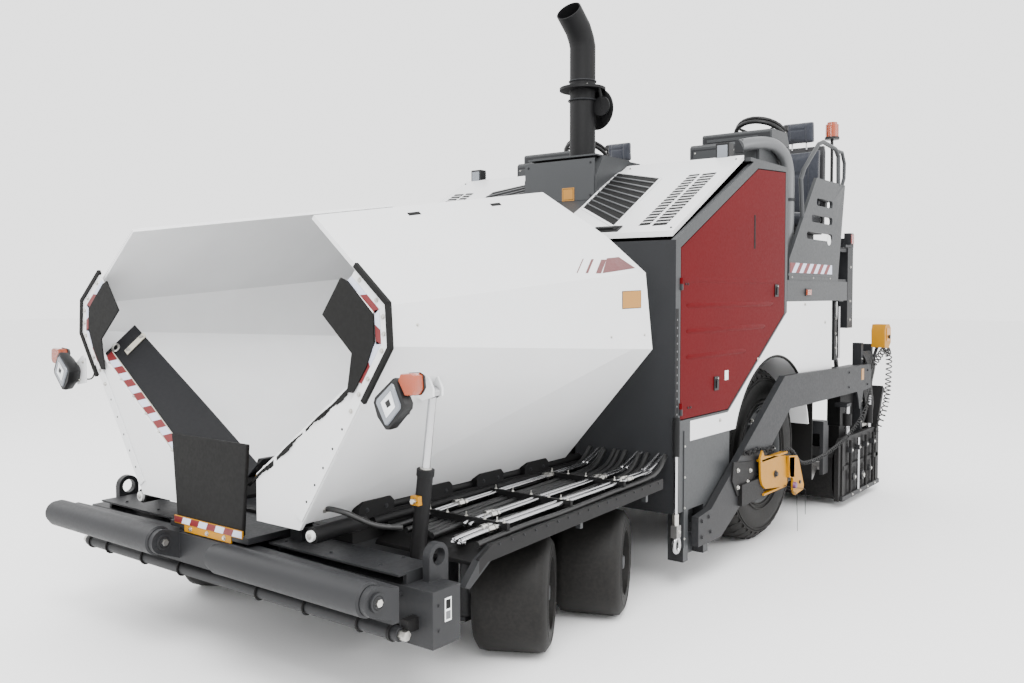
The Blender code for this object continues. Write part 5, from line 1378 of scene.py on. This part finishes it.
def arm_fittings(name, sign):
    face = 1.2735
    arm = Shape(sign)
    for y, z in ((2.575, 0.385), (2.575, 0.29), (2.665, 0.395), (2.69, 0.3)):
        arm.bolt((face, y, z), (1, 0, 0), 0.011, "charcoal_paint")
    for y, z in ((5.22, 1.085), (5.22, 0.965), (5.7, 1.075), (5.7, 0.955)):
        arm.bolt((face, y, z), (1, 0, 0), 0.009, "charcoal_paint")
    arm.plate_x([(5.43, 0.915), (5.6, 0.912), (5.57, 0.84), (5.52, 0.76), (5.5, 0.76), (5.47, 0.84)], 1.262,
                1.2725, "charcoal_paint")
    plate = [(2.99, 0.675), (3.28, 0.64), (3.3, 0.56), (3.2, 0.47), (3.05, 0.45), (2.97, 0.56)]
    arm.plate_x(plate, 1.272, 1.284, "black_paint")
    for y, z in ((3.05, 0.615), (3.24, 0.587), (3.05, 0.507), (3.2, 0.52)):
        arm.bolt((1.284, y, z), (1, 0, 0), 0.012)
    arm.box(1.272, 1.3, 3.08, 3.42, 0.385, 0.52, "black_paint")
    channel = [(3.335, 0.655), (3.37, 0.7), (3.4, 0.66), (3.78, 0.612), (3.8, 0.605), (3.8, 0.418),
               (3.775, 0.4), (3.42, 0.44), (3.37, 0.475), (3.345, 0.52)]
    arm.plate_x(channel, 1.3, 1.314, "yellow")
    arm.boxes("yellow",
              (1.276, 1.314, 3.36, 3.8, 0.626, 0.64),
              (1.276, 1.314, 3.4, 3.79, 0.398, 0.41))
    second = [(3.775, 0.612), (3.93, 0.594), (3.965, 0.56), (4.065, 0.365), (4.055, 0.335), (3.9, 0.32),
              (3.86, 0.36), (3.86, 0.44), (3.8, 0.47)]
    arm.plate_x(second, 1.318, 1.334, "yellow")
    arm.plate_x([(3.79, 0.6), (3.88, 0.59), (3.88, 0.45), (3.79, 0.46)], 1.296, 1.334, "yellow")
    arm.bolt((1.314, 3.585, 0.515), (1, 0, 0), 0.02, "charcoal_paint")
    arm.rod((1.334, 3.875, 0.395), (1.352, 3.875, 0.395), 0.024, "knob_purple", 18, 0.019)
    arm.rod((1.334, 3.98, 0.4), (1.342, 3.98, 0.4), 0.012, "charcoal_paint", 14)
    for k in range(13):
        y = 3.16 + 0.037 * k
        z = 0.712 - 0.0027 * k + 0.006 * math.sin(2.3 * k)
        ring = [(1.285 + (b if k % 2 else 0.0), y + a, z + (0.0 if k % 2 else b))
                for a, b in circle(12, 0.026, 0.015)]
        arm.tube(ring, 0.0055, "black_paint", 7, closed=True)
    arm.box(1.2735, 1.2748, 5.535, 5.6, 1.0, 1.095, "decal_yellow")
    arm.make("tow_arm_fittings_" + name, "screed", 0.0015)


def gate_fittings(name, sign):
    """What crowds the end gate: tubes, spindles, plates, hose ends and a hinged edge."""
    gate = Shape(sign)
    face = 1.2625
    gate.boxes("black_paint",
               (face, face + 0.01, 5.08, 5.15, 0.07, 0.545),
               (face, face + 0.014, 5.95, 6.03, 0.09, 0.545))
    gate.box(face, face + 0.022, 5.06, 6.04, 0.058, 0.095, "charcoal_paint")
    gate.box(face, face + 0.014, 5.1, 6.02, 0.3, 0.335, "black_paint")
    for y in (5.25, 5.45, 5.65, 5.85):
        gate.rod((face + 0.02, y, 0.1), (face + 0.02, y, 0.53), 0.012, "black_paint" if y != 5.45 else "steel",
                 12)
        gate.box(face, face + 0.036, y - 0.022, y + 0.022, 0.43, 0.47, "charcoal_paint")
        gate.bolt((face + 0.036, y, 0.45), (1, 0, 0), 0.008)
        gate.bolt((face + 0.022, y + 0.06, 0.077), (1, 0, 0), 0.008)
    for y, z, r in ((5.33, 0.22, 0.03), (5.56, 0.2, 0.04), (5.76, 0.23, 0.026)):
        gate.rod((face, y, z), (face + 0.03, y, z), r, "charcoal_paint", 20)
        gate.rod((face + 0.03, y, z), (face + 0.04, y, z), r * 0.5, "zinc", 6)
    gate.rod((1.235, 5.3, 0.565), (1.235, 5.3, 0.8), 0.02, "steel", 16)
    gate.rod((1.235, 5.3, 0.64), (1.235, 5.3, 0.74), 0.036, "black_paint", 20)
    gate.rod((1.235, 5.88, 0.565), (1.235, 5.88, 0.84), 0.018, "steel", 16)
    gate.rod((1.235, 5.88, 0.6), (1.235, 5.88, 0.76), 0.032, "black_paint", 20)
    gate.box(1.15, 1.25, 5.245, 5.355, 0.795, 0.825, "charcoal_paint")
    gate.make("gate_fittings_" + name, "extension_" + name, 0.0015)

    plates = Shape(sign)
    plates.boxes("charcoal_paint",
                 (1.13, 1.205, 5.74, 5.8, 0.46, 1.3),
                 (1.13, 1.205, 6.02, 6.07, 0.46, 1.28))
    for z in (0.6, 0.78, 0.96, 1.14):
        plates.box(1.145, 1.195, 5.8, 6.02, z, z + 0.035, "black_paint")
        plates.bolt((1.205, 5.77, z + 0.02), (1, 0, 0), 0.008)
    plates.boxes("plastic_black",
                 (1.15, 1.2, 5.82, 6.0, 0.68, 0.76),
                 (1.16, 1.22, 5.84, 5.98, 1.03, 1.12))
    for k in range(7):
        y, x = 5.8 + 0.034 * k, 1.215 + 0.008 * math.sin(3.1 * k)
        route = [(1.19, y, 1.22), (x + 0.02, y + 0.02, 1.1), (x, y - 0.02 + 0.004 * k, 0.92),
                 (x + 0.012, y + 0.015, 0.74), (1.19, y, 0.58)]
        plates.tube(smooth_route(route, 6), 0.0095, "hose_black", 8)
        plates.rod((1.19, y, 0.57), (1.19, y, 0.6), 0.014, "zinc", 6)
    box = [(5.99, 1.255), (6.1, 1.245), (6.17, 1.29), (6.165, 1.42), (6.12, 1.455), (6.01, 1.455), (5.98, 1.4)]
    plates.plate_x(box, 1.215, 1.33, "yellow")
    plates.box(1.33, 1.336, 6.03, 6.13, 1.31, 1.42, "orange_yellow")
    plates.rod((1.336, 6.08, 1.345), (1.35, 6.08, 1.345), 0.016, "plastic_black", 16)
    plates.rod((1.27, 6.165, 1.33), (1.27, 6.215, 1.33), 0.028, "plastic_black", 18)
    plates.rod((1.2, 6.04, 1.1), (1.245, 6.08, 1.27), 0.014, "charcoal_paint", 12)
    hinged = [(6.02, 0.44), (6.06, 0.4), (6.27, 0.84), (6.305, 0.825), (6.315, 0.855), (6.25, 0.895)]
    plates.plate_x(hinged, 0.8, 1.245, "black_paint")
    plates.plate_x([(6.0, 0.4), (6.05, 0.36), (6.12, 0.4), (6.1, 0.46)], 0.85, 1.215, "charcoal_paint")
    plates.stripes((0.84, 6.205, 0.69), (1.24, 6.205, 0.69), (0, 0.024, 0.05), (0, 0.9, -0.43), 0.08)
    plates.make("screed_fittings_" + name, "screed", 0.0015)


def guide_fittings(name, sign):
    guide = Shape(sign)
    guide.box(1.185, 1.222, 2.352, 2.372, 0.245, 0.93, "black_paint")
    guide.box(1.2, 1.226, 2.436, 2.452, 0.245, 0.93, "grey_paint")
    guide.rod((1.235, 2.318, 0.47), (1.235, 2.318, 0.8), 0.011, "steel", 16)
    guide.rod((1.235, 2.318, 0.8), (1.235, 2.318, 1.02), 0.021, "black_paint", 16)
    guide.rod((1.235, 2.318, 0.4), (1.235, 2.318, 0.47), 0.018, "zinc", 14)
    guide.box(1.215, 1.255, 2.295, 2.345, 0.335, 0.405, "worn_steel")
    guide.bolt((1.255, 2.32, 0.37), (1, 0, 0), 0.01)
    eye = [(1.235, 2.33 + a, 0.29 + b) for a, b in circle(20, 0.03, 0.042)]
    guide.tube(eye, 0.012, "steel", 10, closed=True)
    for k in range(14):
        z = 0.99 + 0.045 * k
        guide.rod((1.2205, 2.35, z), (1.2225, 2.35, z), 0.006, "light_grey", 12)
    guide.box(1.212, 1.2212, 2.333, 2.367, 0.95, 1.64, "black_paint")
    for z in (0.3, 0.48, 0.66, 0.84):
        guide.bolt((1.226, 2.444, z), (1, 0, 0), 0.006)
    guide.make("guide_fittings_" + name, "chassis", 0.001)


def rear_fittings():
    rear = Shape()
    for rear.side in (1, -1):
        rear.box(1.06, 1.16, 5.185, 5.235, 1.18, 1.66, "charcoal_paint")
        rear.rod((1.185, 5.21, 1.62), (1.185, 5.21, 1.2), 0.012, "steel", 12)
        for z in (1.28, 1.4, 1.52):
            rear.bolt((1.16, 5.21, z), (1, 0, 0), 0.008)
        rear.boxes("charcoal_paint",
                   (1.1, 1.205, 5.3, 5.5, 2.105, 2.125),
                   (1.15, 1.205, 5.42, 5.5, 2.125, 2.225))
        rear.box(1.205, 1.212, 5.43, 5.49, 2.135, 2.215, "lens_red")
        rear.rod((1.12, 5.33, 1.83), (1.12, 5.33, 2.11), 0.016, "charcoal_paint", 14)
        rear.boxes("charcoal_paint",
                   (1.035, 1.12, 5.62, 5.76, 1.43, 2.195),
                   (1.045, 1.11, 5.24, 5.62, 1.785, 1.845),
                   (1.045, 1.11, 5.3, 5.62, 2.075, 2.105))
        for z in (1.5, 1.66, 1.95, 2.14):
            rear.bolt((1.12, 5.69, z), (1, 0, 0), 0.009)
        rear.box(0.79, 1.195, 4.6, 4.612, 0.3, 1.36, "rubber")
        rear.box(0.79, 1.195, 4.592, 4.62, 1.3, 1.36, "black_paint")
        for x in (0.84, 0.95, 1.06, 1.16):
            rear.bolt((x, 4.592, 1.33), (0, -1, 0), 0.008)
    rear.make("rear_fittings", "chassis", 0.0015)


def cables():
    """The curly lead and the thin wires at the screed's ends."""
    for name, sign in SIDES:
        way = [(1.285, 3.728, 0.63), (1.31, 3.86, 0.64), (1.32, 4.03, 0.53), (1.31, 4.3, 0.5),
               (1.3, 4.6, 0.507),
               (1.292, 4.9, 0.535), (1.29, 5.15, 0.58), (1.29, 5.42, 0.665), (1.288, 5.68, 0.8), (1.275, 5.79,
                                                                                                  0.915)]
        coil(name + "_low", sign, way, 0.012, 66, 0.004)
        way = [(1.272, 5.812, 1.08), (1.29, 5.95, 1.17), (1.3, 6.12, 1.24), (1.305, 6.205, 1.15),
               (1.3, 6.215, 0.96),
               (1.3, 6.18, 0.8), (1.29, 6.08, 0.64), (1.268, 5.93, 0.47)]
        coil(name + "_high", sign, way, 0.024, 30, 0.0055)
        for k, (y, z0, drop) in enumerate(((3.905, 0.325, 0.265), (4.06, 0.335, 0.185))):
            points = [(sign * 1.284, 3.715, 0.41 + 0.02 * k), (sign * 1.338, 3.8, 0.372 + 0.02 * k)]
            points += [(sign * 1.34, y + 0.025 * t + 0.008 * math.sin(2.4 * t + k),
                        z0 - drop * t) for t in (0.0, 0.25, 0.5, 0.75, 1.0)]
            lead("wire_%s_%d" % (name, k), smooth_route(points, 4), 0.0018, "hanging", "bare", "black_paint")


def coil(name, sign, way, radius, turns, thick):
    route = smooth_route(way, 10)
    total = len(route) - 1
    points = []
    steps = turns * 8
    for i in range(steps + 1):
        t = i / steps
        spot_at = t * total
        a = min(int(spot_at), total - 1)
        spot = route[a].lerp(route[a + 1], spot_at - a)
        ahead = (route[a + 1] - route[a]).normalized()
        side, up = frame_of(ahead)
        size = radius * min(1.0, t * 12, (1.0 - t) * 12)
        turn = 2 * math.pi * turns * t
        spot = spot + (side * math.cos(turn) + up * math.sin(turn)) * size
        points.append((sign * spot.x, spot.y, spot.z))
    lead("coil_" + name, points, thick, "coiled", "object", "hose_black")


def lead(name, points, thick, lay, far_end, finish):
    """A free cable as a curve: one open spline through the points, starting where it leaves the machine."""
    data = bpy.data.curves.new(name, "CURVE")
    data.dimensions = "3D"
    data.bevel_depth = thick
    data.bevel_resolution = 2
    data.use_fill_caps = True
    line = data.splines.new("POLY")
    line.points.add(len(points) - 1)
    spots = [Vector((x, y + BACK, z)) for x, y, z in points]
    for point, spot in zip(line.points, spots):
        point.co = (spot.x, spot.y, spot.z, 1.0)
    data.materials.append(MADE[finish])
    piece = bpy.data.objects.new(name, data)
    bpy.context.scene.collection.objects.link(piece)
    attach(piece, "screed")


# ---------------------------------------------------------------- build everything
add_camera()
add_stage()
make_materials()
hopper()
front()
front_wheels()
rear_wheels()
trays()
body()
platform()
screed()
